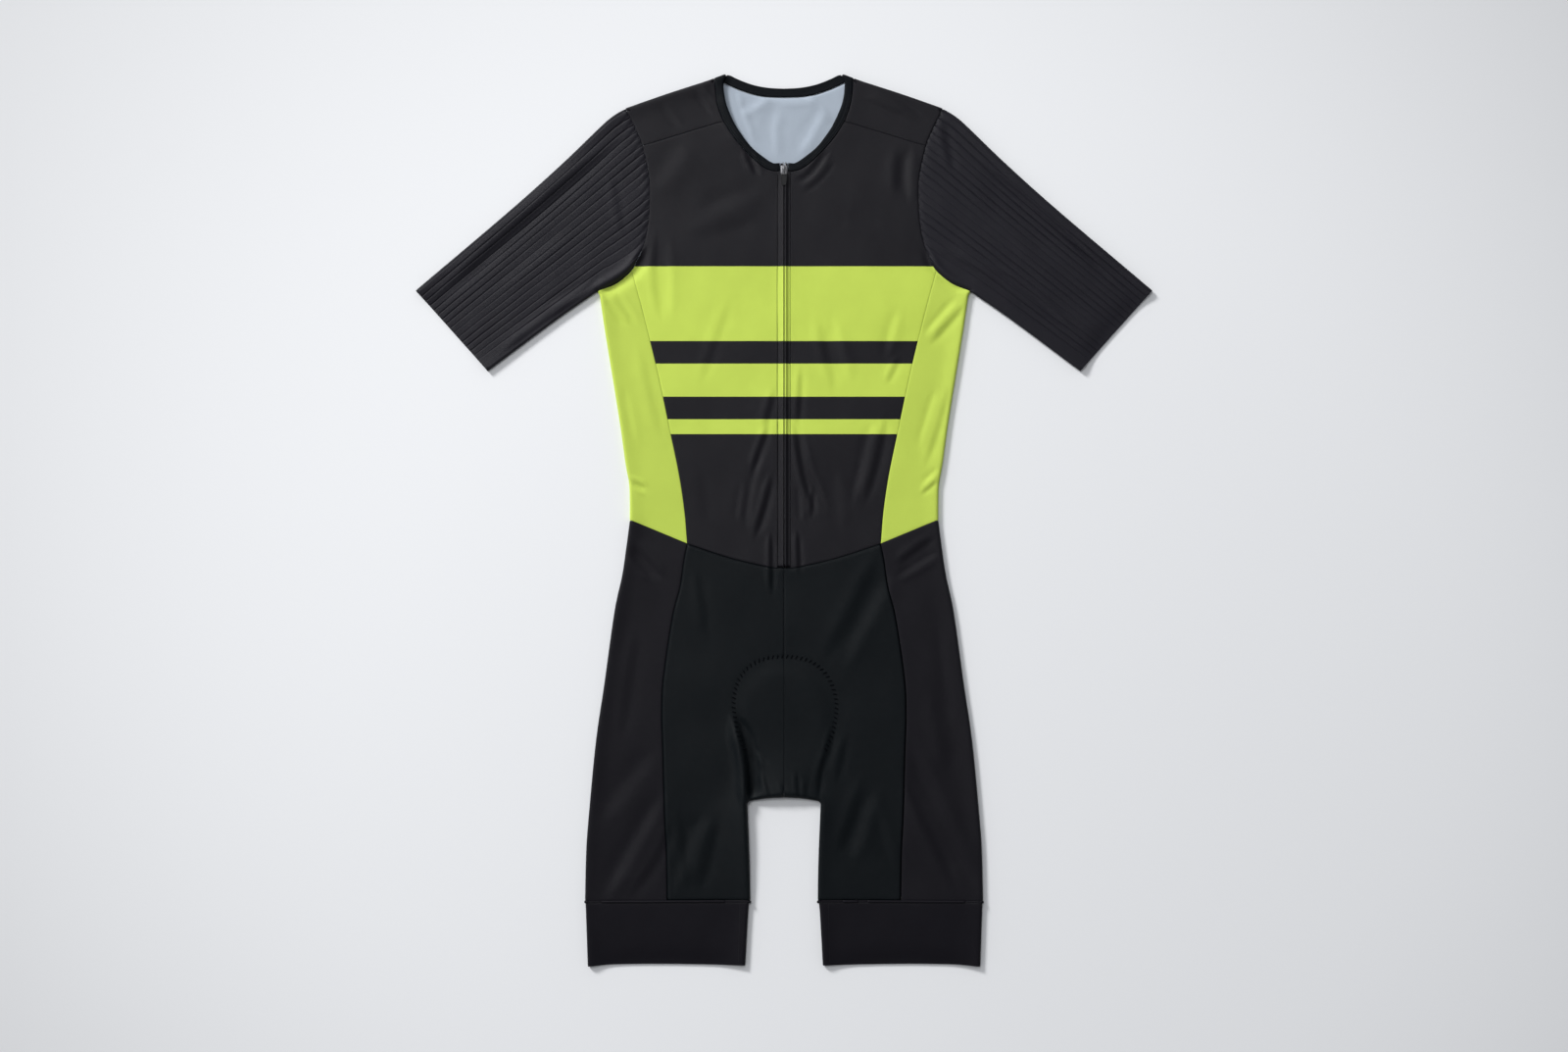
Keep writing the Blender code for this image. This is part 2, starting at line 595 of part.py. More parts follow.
def binding_grid():
    """Neck binding from the zip round the back neck to the zip again."""
    halves = []
    for side in (1, -1):
        edge = EDGES["neck fold"]
        fold = turn(edge, side, BINDING_WALL)[::-1].transpose(1, 0, 2)
        start, end = fold[0], fold[-1]
        seam = np.vstack([
            BINDING_SEAM[:1], evenly([(ZIP_HALF, 401.6)] + BINDING_SEAM[1:], 5),
            evenly(BINDING_SEAM_UPPER + [tuple(start[0, :2])], 4)[1:]])
        free = np.vstack([
            BINDING_FREE[:1], evenly([(ZIP_HALF, ZIP_TOP)] + BINDING_FREE[1:], 5),
            evenly(BINDING_FREE_UPPER + [tuple(start[2, :2])], 4)[1:]])
        front = raised(np.stack([seam, (seam + free) / 2, free], axis=1), side)
        front[-1] = start
        back_seam = np.vstack([end[0, :2], evenly(BACK_NECK_SEAM, 5)])
        back_free = evenly([tuple(end[2, :2])] + BACK_NECK_FREE, 6)
        back = laid(np.stack([back_seam, (back_seam + back_free) / 2, back_free], axis=1), BINDING_WALL)
        half = np.concatenate([front[:-1], fold, back[1:]], axis=0)
        halves.append(half * np.array([side, 1.0, 1.0]))
    return np.concatenate([halves[0], halves[1][-2::-1]], axis=0)


def tape_grid(side):
    """Zip tape: straight up to the slider, where its inner edge spreads round the slider's post."""
    rows = [(y, SEAM_GAP / 4, ZIP_HALF) for y in np.linspace(-54.5, 396.0, 13)]
    rows += [(401.0, 0.2, ZIP_HALF), (401.5, 0.6, SLIDER_HALF), (405.0, 1.25, SLIDER_HALF)]
    rows += [(410.6, 1.25, SLIDER_HALF)]
    xy = np.array([[(inner, y), ((inner + outer) / 2, y), (outer, y)] for y, inner, outer in rows])
    return laid(xy, 2 * BASE)


def sleeve_grids(side):
    """Sleeve: one flattened tube. Below the armhole the underarm seam parts its front from its back."""
    upper = EDGES["sleeve upper"]
    lower = EDGES["sleeve lower"]
    upper_line = turn_line(upper, side)[0]
    lower_line = turn_line(lower, side)[0]
    below = np.vstack([armhole_at(side, UNDERARM_MARKS), lower_line[1:]])

    def layer(marks):
        across = np.array(marks) / RIBS
        cuff = upper_line[-1] + across[:, None] * (lower_line[-1] - upper_line[-1])
        return patch(armhole_at(side, marks), cuff, upper_line, below, across)

    back = laid(layer(BACK_MARKS))
    return [raised(layer(SLEEVE_MARKS), side), back[:, ::-1],
            turn(upper, side)[:, ::-1], turn(lower, side)]


def sleeve(name, side, collection, finish):
    """Ribs stand up from the front of the sleeve over a plain inside."""
    bm = bmesh.new()
    ribs = bm.verts.layers.deform.verify()
    grids = sleeve_grids(side)
    verts = add_grid(bm, grids[0])
    for row in verts:
        for vert in row[1:-1:2]:
            vert[ribs][0] = 1.0
    for grid in grids[1:]:
        add_grid(bm, grid)
    bmesh.ops.remove_doubles(bm, verts=bm.verts, dist=0.02)
    bmesh.ops.reverse_faces(bm, faces=bm.faces)
    bm.normal_update()
    draw_back(bm)
    bm.normal_update()
    inward = [(vert, vert.normal * (WALL / 2 * vert.calc_shell_factor())) for vert in bm.verts]
    for vert, move in inward:
        vert.co -= move
    obj = node(name, mesh_of(name, bm, side), collection, finish)
    obj.vertex_groups.new(name="Ribs")
    wall_of = obj.modifiers.new("Wall", "SOLIDIFY")
    wall_of.thickness = (WALL + RIB_HEIGHT) * MM
    wall_of.offset = 1.0
    wall_of.use_even_offset = True
    wall_of.vertex_group = "Ribs"
    wall_of.thickness_vertex_group = WALL / (WALL + RIB_HEIGHT)


def lowest_at(xy):
    """The front layer's lowest height close to true plan points of either half."""
    found = []
    for step in ((0, 0), (PAD_REACH, 0), (-PAD_REACH, 0), (0, PAD_REACH), (0, -PAD_REACH)):
        near = xy + step
        half = np.abs(near) * (1, 0) + near * (0, 1)
        found.append(np.where(near[:, 0] < 0, front_height(half, -1), front_height(half, 1)))
    return np.min(found, axis=0)


def pad_mesh(name):
    """Seat pad: a thin cushion, flat below, that follows the front layer above."""
    right = evenly([(row.half_width, row.y) for row in PAD_OUTLINE], 11)
    rim = np.vstack([right, right[-2:0:-1] * (-1, 1)])
    centre = np.array([0.0, -235.0])
    rings = []
    for scale, z in ((0.45, PAD_FLOOR), (0.96, PAD_FLOOR), (1.0, PAD_FLOOR + 0.3)):
        xy = centre + (rim - centre) * scale
        rings.append(laid(xy, 2 * z))
    for scale in (0.93, 0.75, 0.45):
        xy = centre + (rim - centre) * scale
        top = np.maximum(lowest_at(xy) - WALL / 2 - PAD_CLEAR, PAD_FLOOR + 0.4)
        rings.append(np.concatenate([xy, top[:, None]], axis=1))
    bm = bmesh.new()
    verts = add_grid(bm, np.array(rings), ring=True)
    bm.faces.new(verts[0])
    bm.faces.new(verts[-1])
    bmesh.ops.recalc_face_normals(bm, faces=bm.faces)
    return mesh_of(name, bm, 1)


# Hard pieces

def box(name, low, high, collection, finish):
    """Box between two corners."""
    bm = bmesh.new()
    bmesh.ops.create_cube(bm, size=1.0)
    for vert in bm.verts:
        vert.co = [a + (c + 0.5) * (b - a) for a, b, c in zip(low, high, vert.co)]
    return node(name, mesh_of(name, bm, 1), collection, finish)


def rounded_box(name, low, high, radius, collection, finish):
    obj = box(name, low, high, collection, finish)
    edges = obj.modifiers.new("Edges", "BEVEL")
    edges.width = radius * MM
    edges.segments = 2
    return obj


def bail(name, collection, finish):
    """The slider's bridge: an arch along the zip, drawn from the side and given its width."""
    outside = [(398.6, 4.3), (398.9, 5.6), (400.2, 6.7), (402.4, 7.1), (405.0, 6.8), (407.2, 5.8), (408.6, 4.3)]
    inside = [(406.6, 4.3), (405.6, 5.4), (404.2, 6.1), (402.4, 6.3), (400.9, 6.0), (400.3, 5.4), (400.2, 4.3)]
    bm = bmesh.new()
    face = bm.faces.new([bm.verts.new((-BAIL_HALF, y, z)) for y, z in outside + inside])
    sweep = bmesh.ops.extrude_face_region(bm, geom=[face])
    moved = [item for item in sweep["geom"] if isinstance(item, bmesh.types.BMVert)]
    bmesh.ops.translate(bm, verts=moved, vec=(2 * BAIL_HALF, 0, 0))
    bmesh.ops.recalc_face_normals(bm, faces=bm.faces)
    return node(name, mesh_of(name, bm, 1), collection, finish)


def slider(collection, helpers, finish):
    """Two plates with the zip tapes between them, a post at the top and the bridge."""
    low_y, high_y = SLIDER_Y
    upper = rounded_box("zip_slider", (-SLIDER_HALF, low_y, SLIDER_UPPER_Z),
                        (SLIDER_HALF, high_y, SLIDER_UPPER_Z + PLATE), 0.25, collection, finish)
    joined = [
        box("slider_lower_plate", (-SLIDER_HALF, low_y, SLIDER_LOWER_Z),
            (SLIDER_HALF, high_y, SLIDER_LOWER_Z + PLATE), helpers, finish),
        box("slider_post", (-POST_HALF, high_y - 4.6, SLIDER_LOWER_Z + 0.2),
            (POST_HALF, high_y - 0.3, SLIDER_UPPER_Z + PLATE - 0.2), helpers, finish),
        bail("slider_bridge", helpers, finish),
    ]
    for piece in joined:
        piece.hide_render = True
        piece.display_type = "WIRE"
        union = upper.modifiers.new(piece.name, "BOOLEAN")
        union.operation = "UNION"
        union.object = piece


def pull_link(collection, finish):
    """Wire link through the bridge, bent like a staple, with its bar on the pivot."""
    wire = bpy.data.curves.new("zip_pull_link", "CURVE")
    wire.dimensions = "3D"
    wire.bevel_depth = LINK_RADIUS * MM
    wire.bevel_resolution = 2
    wire.use_fill_caps = True
    low = GRIP_Y[1] + SEAM_GAP - PIVOT_Y
    path = [(-LINK_HALF, low), (-LINK_HALF, -0.7), (-LINK_HALF + 0.7, 0.0),
            (LINK_HALF - 0.7, 0.0), (LINK_HALF, -0.7), (LINK_HALF, low)]
    spline = wire.splines.new("POLY")
    spline.points.add(len(path) - 1)
    for point, (x, y) in zip(spline.points, path):
        point.co = (x * MM, y * MM, 0.0, 1.0)
    wire.materials.append(finish)
    obj = bpy.data.objects.new("zip_pull_link", wire)
    obj.location = (0.0, PIVOT_Y * MM, PIVOT_Z * MM)
    collection.objects.link(obj)


def pull_grip(collection, finish):
    """Moulded grip, a little narrower at its lower end."""
    obj = rounded_box("zip_pull_grip", (-GRIP_HALF, GRIP_Y[0], GRIP_Z - GRIP_THICK / 2),
                      (GRIP_HALF, GRIP_Y[1], GRIP_Z + GRIP_THICK / 2), 0.5, collection, finish)
    for vert in obj.data.vertices:
        if vert.co.y < (GRIP_Y[0] + 1) * MM:
            vert.co.x *= 0.84


def material(name, colour, roughness, metallic=0.0):
    finish = bpy.data.materials.new(name)
    finish.use_nodes = True
    shader = finish.node_tree.nodes["Principled BSDF"]
    shader.inputs["Base Color"].default_value = (*colour, 1.0)
    shader.inputs["Roughness"].default_value = roughness
    shader.inputs["Metallic"].default_value = metallic
    return finish


def main():
    for obj in list(bpy.data.objects):
        bpy.data.objects.remove(obj, do_unlink=True)
    suit = bpy.data.collections.new("speedsuit")
    helpers = bpy.data.collections.new("cutters")
    for collection in (suit, helpers):
        bpy.context.scene.collection.children.link(collection)

    charcoal = material("charcoal_knit", (0.024, 0.023, 0.027), 0.62)
    ribbed = material("ribbed_knit", (0.030, 0.031, 0.036), 0.6)
    lime = material("lime_knit", (0.52, 0.69, 0.11), 0.6)
    shorts = material("shorts_knit", (0.012, 0.015, 0.018), 0.5)
    inside = material("back_knit", (0.40, 0.46, 0.54), 0.7)
    black = material("black_binding", (0.012, 0.012, 0.013), 0.55)
    foam = material("pad_foam", (0.05, 0.05, 0.055), 0.8)
    metal = material("slider_metal", (0.75, 0.76, 0.78), 0.3, 1.0)
    plastic = material("grip_plastic", (0.02, 0.02, 0.022), 0.45)

    for side, hand in ((1, "right"), (-1, "left")):
        cloth("front_" + hand, [front_grid(side)], side, suit, charcoal)
        cloth("side_" + hand, [side_grid(side)], side, suit, lime)
        sleeve("sleeve_" + hand, side, suit, ribbed)
        cloth("zip_tape_" + hand, [tape_grid(side)], side, suit, charcoal)
        cloth("leg_front_" + hand, leg_front_grids(side), side, suit, shorts)
        cloth("leg_outer_" + hand, [leg_outer_grid(side)], side, suit, charcoal)
        cloth("seat_" + hand, [], side, suit, charcoal, outlines=[seat_outline(side)[::-1]])
        cloth("gripper_" + hand, [gripper_grid(side)], side, suit, charcoal, ring=True)

    left_yoke = [mirrored(grid)[:, ::-1] for grid in yoke_grids(-1)]
    back = np.vstack([back_half(1), mirrored(back_half(-1))[-2:0:-1]])
    cloth("back_torso", yoke_grids(1) + left_yoke, 1, suit, inside, outlines=[back])
    cloth("neck_binding", [binding_grid()], 1, suit, black, wall=BINDING_WALL)
    node("seat_pad", pad_mesh("seat_pad"), suit, foam)

    slider(suit, helpers, metal)
    pull_link(suit, metal)
    pull_grip(suit, plastic)


EDGES = outline()
main()
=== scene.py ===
"""Looks of a cycling speedsuit laid flat on its back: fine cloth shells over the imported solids.

Sizes below are in millimetres in the frame's own axes, and MM turns them into metres when a mesh is
made. The plan is worked out for the right half (+X) and mirrored for the left, as the solids are;
only the heights of the folds differ between the halves.
"""

import math
from collections import namedtuple

import bpy
import numpy as np
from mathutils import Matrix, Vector
from mathutils.kdtree import KDTree


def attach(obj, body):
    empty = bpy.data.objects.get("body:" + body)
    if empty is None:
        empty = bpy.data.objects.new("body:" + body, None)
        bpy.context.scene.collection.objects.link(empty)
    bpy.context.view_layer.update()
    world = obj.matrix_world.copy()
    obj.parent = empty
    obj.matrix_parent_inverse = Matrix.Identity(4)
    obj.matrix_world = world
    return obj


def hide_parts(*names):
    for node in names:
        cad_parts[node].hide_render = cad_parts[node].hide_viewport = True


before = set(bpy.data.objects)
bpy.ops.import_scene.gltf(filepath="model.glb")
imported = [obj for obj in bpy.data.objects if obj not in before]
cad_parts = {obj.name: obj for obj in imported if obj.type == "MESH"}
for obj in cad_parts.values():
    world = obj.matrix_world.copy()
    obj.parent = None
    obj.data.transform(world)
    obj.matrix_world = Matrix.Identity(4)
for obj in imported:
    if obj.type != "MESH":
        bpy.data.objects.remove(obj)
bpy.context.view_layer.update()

MM = 0.001

# Camera and floor
PICTURE_WIDTH = 1808.0      # what the picture's 1600 pixels span on the floor
PICTURE_CENTRE_Y = -6.8
LENS = 50.0
SENSOR = 36.0
FLOOR_Z = -0.2
FLOOR_SIZE = 14000.0

# Cloth
WALL = 0.9
BINDING_WALL = 1.9
SEAM_GAP = 0.12
LIP = 0.3                   # radius of a cloth edge
SEAM_SINK = 0.22            # how far the cloth dips to a seam
SEAM_REACH = 1.1
THINNEST = 1.9              # a groove's depth may take this many half walls
CENTRE_SPACING = 2.0        # between the shorts' first columns beside the centre seam
LIPS = (0.1, 0.17, 0.3, 0.7, 1.3, 2.2)  # extra rows beside a seam
BASE = 3.8                  # height of the front layer's middle
EDGE = 5.6                  # the same at a folded edge
ROLL = 12.0                 # how far in from a folded edge the front layer rises
LOWEST = 1.5                # what the front layer's height never goes below
LOWEST_ON_PAD = 0.7         # how much higher that is over the seat pad
SETTLE = 0.6                # height over which the cloth rounds off on to its lowest
ARC = 10                    # faces round a fold
STRENGTH = 1.5              # what every crease's rise is multiplied by
TAPER = 0.35                # share of a crease's length that thins out towards each end
TIP = 0.25                  # what is left of a crease at its ends
WALL_FORM = 1.16            # how steep a crease's wall is
QUIET_AT_ZIP = 9.0          # how near the zip creases die out
QUIET_AT_EDGE = 5.0         # the same at a folded edge
OPEN_DROP = 2.3             # how far the front layer sinks to cuffs and hems
OPEN_REACH = 15.0
OPEN_CORNER = 24.0          # how far from a folded edge that sinking is full

WAIST_SIDE = (177.6, -0.6)
WAIST_JOINT = (111.5, -27.0)
ZIP_HALF = 7.5
ZIP_TOP = 411.0
ZIP_FOOT = -54.5
NECK_FOOT = 401.6           # where the binding's seam meets the zip
BACK_NECK_Y = 487.2
BINDING_END = 4.6
GRIPPER_Y = -438.5
GRIPPER_JOINT_X = 134.9
SIDE_RETURN = 28.0
INNER_RETURN = 16.0
ARMPIT = (213.1, 264.3)
ARMPIT_FILLET = 8.0
CROTCH_FILLET = 4.5
CUFF_UPPER = (424.2, 264.3)
CUFF_LOWER = (341.3, 171.2)
RIBS = 17
RIB_PITCH = 7.2
RIB_CROWN = 0.05
RIB_GROOVE = 0.8
RIB_GROOVE_WIDTH = 0.5
PLAIN_RIB = 16.2            # rib past which the sleeve's underarm band is plain
GATHER_REACH = 9.0          # how far the ribs pinch in beside the armhole

# Outer shape of the right half, each row one point: x, y
SHOULDER_LINE = [(67.6, 513.6), (74.6, 510.8), (80.8, 508.6), (90, 505.2), (136, 490.3), (182.6, 474)]
SLEEVE_UPPER = [(182.6, 474), (198.9, 463.6), (213.1, 451), (255.8, 409.9), (315.9, 356.1), CUFF_UPPER]
SLEEVE_LOWER = [ARMPIT, (265.3, 227.9), CUFF_LOWER]
SIDE_EDGE = [ARMPIT, (206, 216), (197, 161), (188.7, 109), (182.4, 64), (178.4, 42),
             (177.6, 21), WAIST_SIDE]
LEG_OUTER_EDGE = [WAIST_SIDE, (181.6, -31), (186.5, -64), (195.4, -106), (207.2, -190),
                  (216.7, -255), (224.6, -337), (227.8, -381), (229.2, GRIPPER_Y)]
LEG_INNER_EDGE = [(38.8, GRIPPER_Y), (39.5, -395), (41.2, -350), (42.3, -324)]
CROTCH_EDGE = [(42.3, -324), (33, -322.2), (20, -320.3), (0, -319.2)]
GRIPPER_OUTER = [(229.2, GRIPPER_Y), (228.3, -447), (226, -513.75)]
GRIPPER_INNER = [(44.7, -512.6), (40.9, -447), (38.8, GRIPPER_Y)]
HEM = [(44.7, -512.6), (135, -511), (195, -511.6), (226, -513.75)]
OPEN_ENDS = [[CUFF_UPPER, CUFF_LOWER], [HEM[-1], HEM[0]]]

# Seams on the front of the right half
WAIST_SEAM = [(0, -54.6), (15, -54.2), (60, -43.8), WAIST_JOINT, WAIST_SIDE]
BACK_WAIST = [(0, 3), (75, 1.6), (149.6, -0.6)]
PRINCESS_SEAM = [(175.5, 287), (162.7, 240), (145.2, 169), (131, 101.5), (120.8, 52),
                 (114.7, 11), WAIST_JOINT]
LEG_SEAM = [WAIST_JOINT, (115.5, -46), (120.2, -77.5), (128.9, -112), (139.3, -182), (141.2, -223),
            (139.8, -271), (138, -338), (135.9, -381), (GRIPPER_JOINT_X, GRIPPER_Y)]
YOKE_SEAM = [(69.8, 458.5), (88, 453.5), (145, 436), (163, 430.9)]
BINDING_SEAM = [(BINDING_END, NECK_FOOT), (12.1, NECK_FOOT), (24.1, 406.2), (41, 420.9), (57.9, 440.1),
                (69.8, 458.5)]
BINDING_SEAM_UPPER = [(69.8, 458.5), (75.6, 474), (78.6, 489)]
BINDING_FREE = [(BINDING_END, ZIP_TOP), (13.2, 411.2), (24.1, 418.3), (38.5, 430.4), (53, 449.7),
                (60.6, 464)]
BINDING_FREE_UPPER = [(60.6, 464), (66, 477), (68.9, 490), (69.6, 504)]
BACK_NECK_SEAM = [(70.9, 504.6), (50.6, 495.5), (26.6, 488.7), (0, BACK_NECK_Y)]
BACK_NECK_FREE = [(65.4, 512.7), (60.6, 511.6), (54, 508.2), (36.2, 501.5), (18, 498), (0, 497)]

# The armhole seam between shoulder and armpit, with the sleeve's rib that ends at each point.
# Past the last rib the seam runs along the sleeve's lower side to the armpit.
ArmholePoint = namedtuple("ArmholePoint", "rib x y")
ARMHOLE = [
    ArmholePoint(2.7, 170.4, 449.4),
    ArmholePoint(5, 163, 430.9),
    ArmholePoint(8.8, 155.3, 395.6),
    ArmholePoint(11.4, 154.6, 367.1),
    ArmholePoint(13.5, 156.2, 341.8),
    ArmholePoint(15.3, 161.4, 316.5),
    ArmholePoint(16.4, 169.2, 298.5),
    ArmholePoint(17, 175.5, 287),
    ArmholePoint(17.5, 193, 272.4),
]
YOKE_RIB = 5
UNDERARM_RIB = 17.0
ARMPIT_MARK = 18.0
UNDERARM_SHARE = 0.2
BEND_SHARE = 0.03
LEG_SPLIT = 0.714
LEG_BEND_SHARE = 0.12

# How many rows or columns each stretch gets
UNDERARM_ROWS = 14
BEND_ROWS = 6
SLEEVE_ROWS = 84
SIDE_ROWS = 112
LEG_UPPER_ROWS = 104
LEG_LOWER_ROWS = 42
CROTCH_ROWS = 16
SPLIT_COLUMNS = 34
CORNER = CROTCH_ROWS + BEND_ROWS  # the inner edge's row where crotch and leg meet
BINDING_ACROSS = 8
SHOULDER_COLUMNS = 44
BAND_ROWS = 27
NECK_COLUMNS = 36
YOKE_COLUMNS = 34
YOKE_ROWS = 18
FRONT_ARMHOLE_ROWS = 58
BACK_ARMHOLE_ROWS = 60
BACK_NECK_COLUMNS = 26
SIDE_COLUMNS = 26
OUTER_COLUMNS = 34
OUTER_BACK_COLUMNS = 9
INNER_BACK_COLUMNS = 6
GRIPPER_COLUMNS = 60
BINDING_ROWS = (2, 40, 26)  # behind the slider, up to the yoke seam, up to the shoulder
BINDING_BACK_ROWS = 28
PAD_ROWS = 44
PAD_RINGS = 26
RIB_PLACES = (0, 0.045, 0.09, 0.15, 0.3, 0.5, 0.7, 0.85, 0.91, 0.955)
BACK_RIB_PLACES = (0, 0.13, 0.5, 0.87)

# The seat pad between the layers
PAD_CENTRE_Y = -225.0
PAD_HALF_WIDTH = 62.0
PAD_UP = 68.0
PAD_DOWN = 130.0
PAD_MIDDLE = (0, -235)
PAD_RISE = 1.6
PAD_SLOPE = 0.35            # share of the pad's reach over which it lifts the cloth
PAD_FLOOR = 1.35
PAD_CLEAR = 0.7
PAD_REACH = 6.0
PadPoint = namedtuple("PadPoint", "half_width y")
PAD_OUTLINE = [
    PadPoint(0, -158), PadPoint(26, -161), PadPoint(46, -173), PadPoint(56, -193),
    PadPoint(59, -212), PadPoint(56, -231), PadPoint(50, -248), PadPoint(42, -266),
    PadPoint(38, -290), PadPoint(33, -309), PadPoint(0, -312),
]

# Creases of the front layer along true lines, thinner at their ends: the cloth falls away from the light
# across a line whose rise is below 0, which looks dark, and climbs across the others, which look light
Crease = namedtuple("Crease", "width rise line")
CREASES = [
    # Lower torso
    Crease(5, -1.3, [(-18, 110), (-27, 85), (-37, 56)]),
    Crease(5.5, -1.7, [(-14.5, 50), (-19, 32), (-25, 10), (-34, -18)]),
    Crease(5.5, 0.7, [(-24, 84), (-38, 25), (-42, -12)]),
    Crease(5, 0.5, [(-48, 40), (-54, 0)]),
    Crease(5, -1.5, [(10.5, 110), (18, 64), (25.4, 34), (34, 14)]),
    Crease(5, 0.8, [(20, 104), (29, 64), (49, 16)]),
    Crease(5, 0.8, [(19, 38), (20.5, 0)]),
    Crease(4, -0.9, [(32.8, 36), (31, 4)]),
    Crease(4, -1.6, [(15, -14), (17, -60)]),
    Crease(4, -1.7, [(-15.5, -16), (-15, -84)]),
    Crease(6.5, -1, [(117, 118), (107, 70), (93, 22)]),
    Crease(7, 0.8, [(103, 112), (88, 50), (80, 20)]),
    Crease(5, -0.9, [(132, 186), (118, 158)]),
    Crease(10, -0.45, [(-100, 60), (-92, 0)]),
    Crease(9, 0.5, [(60, 60), (66, -10)]),
    # Chest
    Crease(6, -1, [(-11, 150), (-24, 104)]),
    Crease(5, -1, [(18.6, 174), (15.5, 110)]),
    Crease(8, -0.9, [(39, 228), (57, 150)]),
    Crease(8, 0.7, [(56, 232), (74, 160)]),
    Crease(6.5, -0.9, [(-147, 330), (-150, 280), (-143, 232)]),
    Crease(7, 0.7, [(-134, 322), (-131, 236)]),
    Crease(8, -0.6, [(-64, 250), (-96, 160)]),
    Crease(7, 0.8, [(131, 240), (118, 190)]),
    Crease(12, 0.8, [(-28, 378), (-56, 368), (-96, 353)]),
    Crease(12, -0.6, [(-30, 350), (-106, 328)]),
    Crease(4, -1, [(-46, 424), (-34, 398)]),
    Crease(3.5, 0.7, [(-38, 424), (-26, 396)]),
    Crease(3.5, -0.6, [(9, 391), (26, 400), (48, 428)]),
    Crease(3.5, 0.7, [(16, 385), (34, 397), (54, 424)]),
    Crease(4, -0.5, [(20, 377), (40, 392), (58, 414)]),
    Crease(8, 1.1, [(146, 428), (143, 400), (145, 366)]),
    Crease(8, -0.8, [(131, 424), (128, 376)]),
    Crease(16, 0.9, [(-150, 380), (-112, 432)]),
    Crease(12, 0.5, [(70, 350), (110, 330)]),
    # Shoulders
    Crease(5, 0.8, [(-92, 500), (-74, 478)]),
    Crease(4, -0.8, [(-102, 494), (-82, 468)]),
    Crease(6, 0.9, [(96, 498), (128, 484), (160, 462)]),
    Crease(5, -0.7, [(92, 486), (142, 464)]),
    Crease(6, -0.6, [(-140, 478), (-118, 452)]),
    # Side panels
    Crease(5.5, -1.2, [(211, 251), (190, 228), (168, 204)]),
    Crease(5, 0.9, [(199, 254), (162, 212)]),
    Crease(6, -1, [(189, 152), (178, 110), (163, 66)]),
    Crease(5, 0.7, [(176, 150), (156, 84)]),
    Crease(5, -1.1, [(-205, 258), (-180, 224)]),
    Crease(5, 0.8, [(-192, 264), (-168, 226)]),
    Crease(8, -0.7, [(-166, 195), (-143, 100)]),
    Crease(6, 0.5, [(-182, 150), (-170, 90)]),
    Crease(3.5, -1.3, [(-180, 49), (-158, 38)]),
    Crease(3.5, 0.8, [(-180, 41), (-160, 31)]),
    Crease(3.5, -1.3, [(180, 49), (158, 31)]),
    Crease(4, 0.8, [(180, 59), (160, 42)]),
    # Shorts
    Crease(12, -1.2, [(108, -44), (80, -100), (48, -158)]),
    Crease(11, 1, [(124, -62), (98, -112), (68, -170)]),
    Crease(6, -1.1, [(-172, -26), (-138, -66)]),
    Crease(6, 1, [(-182, -36), (-152, -70)]),
    Crease(6, -1.1, [(130, -49), (172, -19)]),
    Crease(6, 1, [(178, -38), (130, -68)]),
    Crease(8, -0.8, [(-100, -60), (-90, -130)]),
    Crease(12, 1.7, [(-140, -318), (-166, -366), (-203, -432)]),
    Crease(8, -0.9, [(-126, -340), (-146, -386), (-176, -432)]),
    Crease(14, 1, [(-150, -270), (-206, -344)]),
    Crease(8, -0.9, [(-122, -336), (-112, -408)]),
    Crease(11, 1.3, [(-92, -340), (-124, -420)]),
    Crease(9, -1, [(-76, -340), (-98, -424)]),
    Crease(11, 1.3, [(106, -312), (78, -392)]),
    Crease(9, -1, [(92, -300), (62, -384)]),
    Crease(9, 0.9, [(108, -330), (126, -396)]),
    Crease(12, 1.9, [(150, -262), (182, -336), (218, -412)]),
    Crease(9, -1.3, [(140, -300), (164, -356), (196, -424)]),
    Crease(12, -0.9, [(172, -200), (190, -290)]),
    Crease(9, 0.6, [(180, -120), (196, -240)]),
    Crease(9, -0.6, [(-170, -130), (-188, -250)]),
    # Round the seat pad
    Crease(8.5, -9, [(-56, -228), (-47, -256), (-42, -286), (-41, -332)]),
    Crease(5, -1.3, [(55, -236), (50, -262), (41, -290), (38, -322)]),
    Crease(6, -0.9, [(70, -250), (60, -300)]),
    Crease(3, -1.4, [(-25, -290), (-15.8, -321)]),
    Crease(3, -1.2, [(13.6, -290), (15.8, -321)]),
    Crease(3, -0.9, [(24, -300), (24, -321)]),
    Crease(3.5, -1.1, [(-34, -262), (-20, -283)]),
    Crease(3, -0.9, [(-4, -300), (1, -320)]),
    # Sleeves
    Crease(9.5, -2.3, [(-193, 437), (-290, 354), (-405, 251)]),
    Crease(5, -1, [(-268, 231), (-218, 264)]),
    Crease(5, 0.8, [(-274, 243), (-224, 276)]),
    Crease(10, 0.7, [(-335, 262), (-245, 335)]),
    Crease(6, -1.1, [(182, 458), (186, 432), (193, 402)]),
    Crease(3.5, -1, [(212, 424), (282, 369), (347, 309), (392, 260)]),
    Crease(4, 0.7, [(230, 402), (300, 346), (352, 296)]),
    Crease(5, -1.1, [(180, 312), (236, 280), (304, 230)]),
    Crease(4.5, -1, [(228, 302), (288, 260), (336, 212)]),
    Crease(3.5, 0.7, [(196, 318), (262, 282)]),
    Crease(10, 0.7, [(345, 256), (262, 330)]),
    Crease(6, -0.7, [(-198, 400), (-186, 330)]),
    Crease(7, -4.4, [(-220, 262), (-197, 273), (-175, 289), (-160, 312)]),
    Crease(8, -1.9, [(-234, 256), (-262, 237), (-322, 193)]),
    Crease(5, -2.2, [(216, 265), (194, 273), (174, 291), (163, 312)]),
]

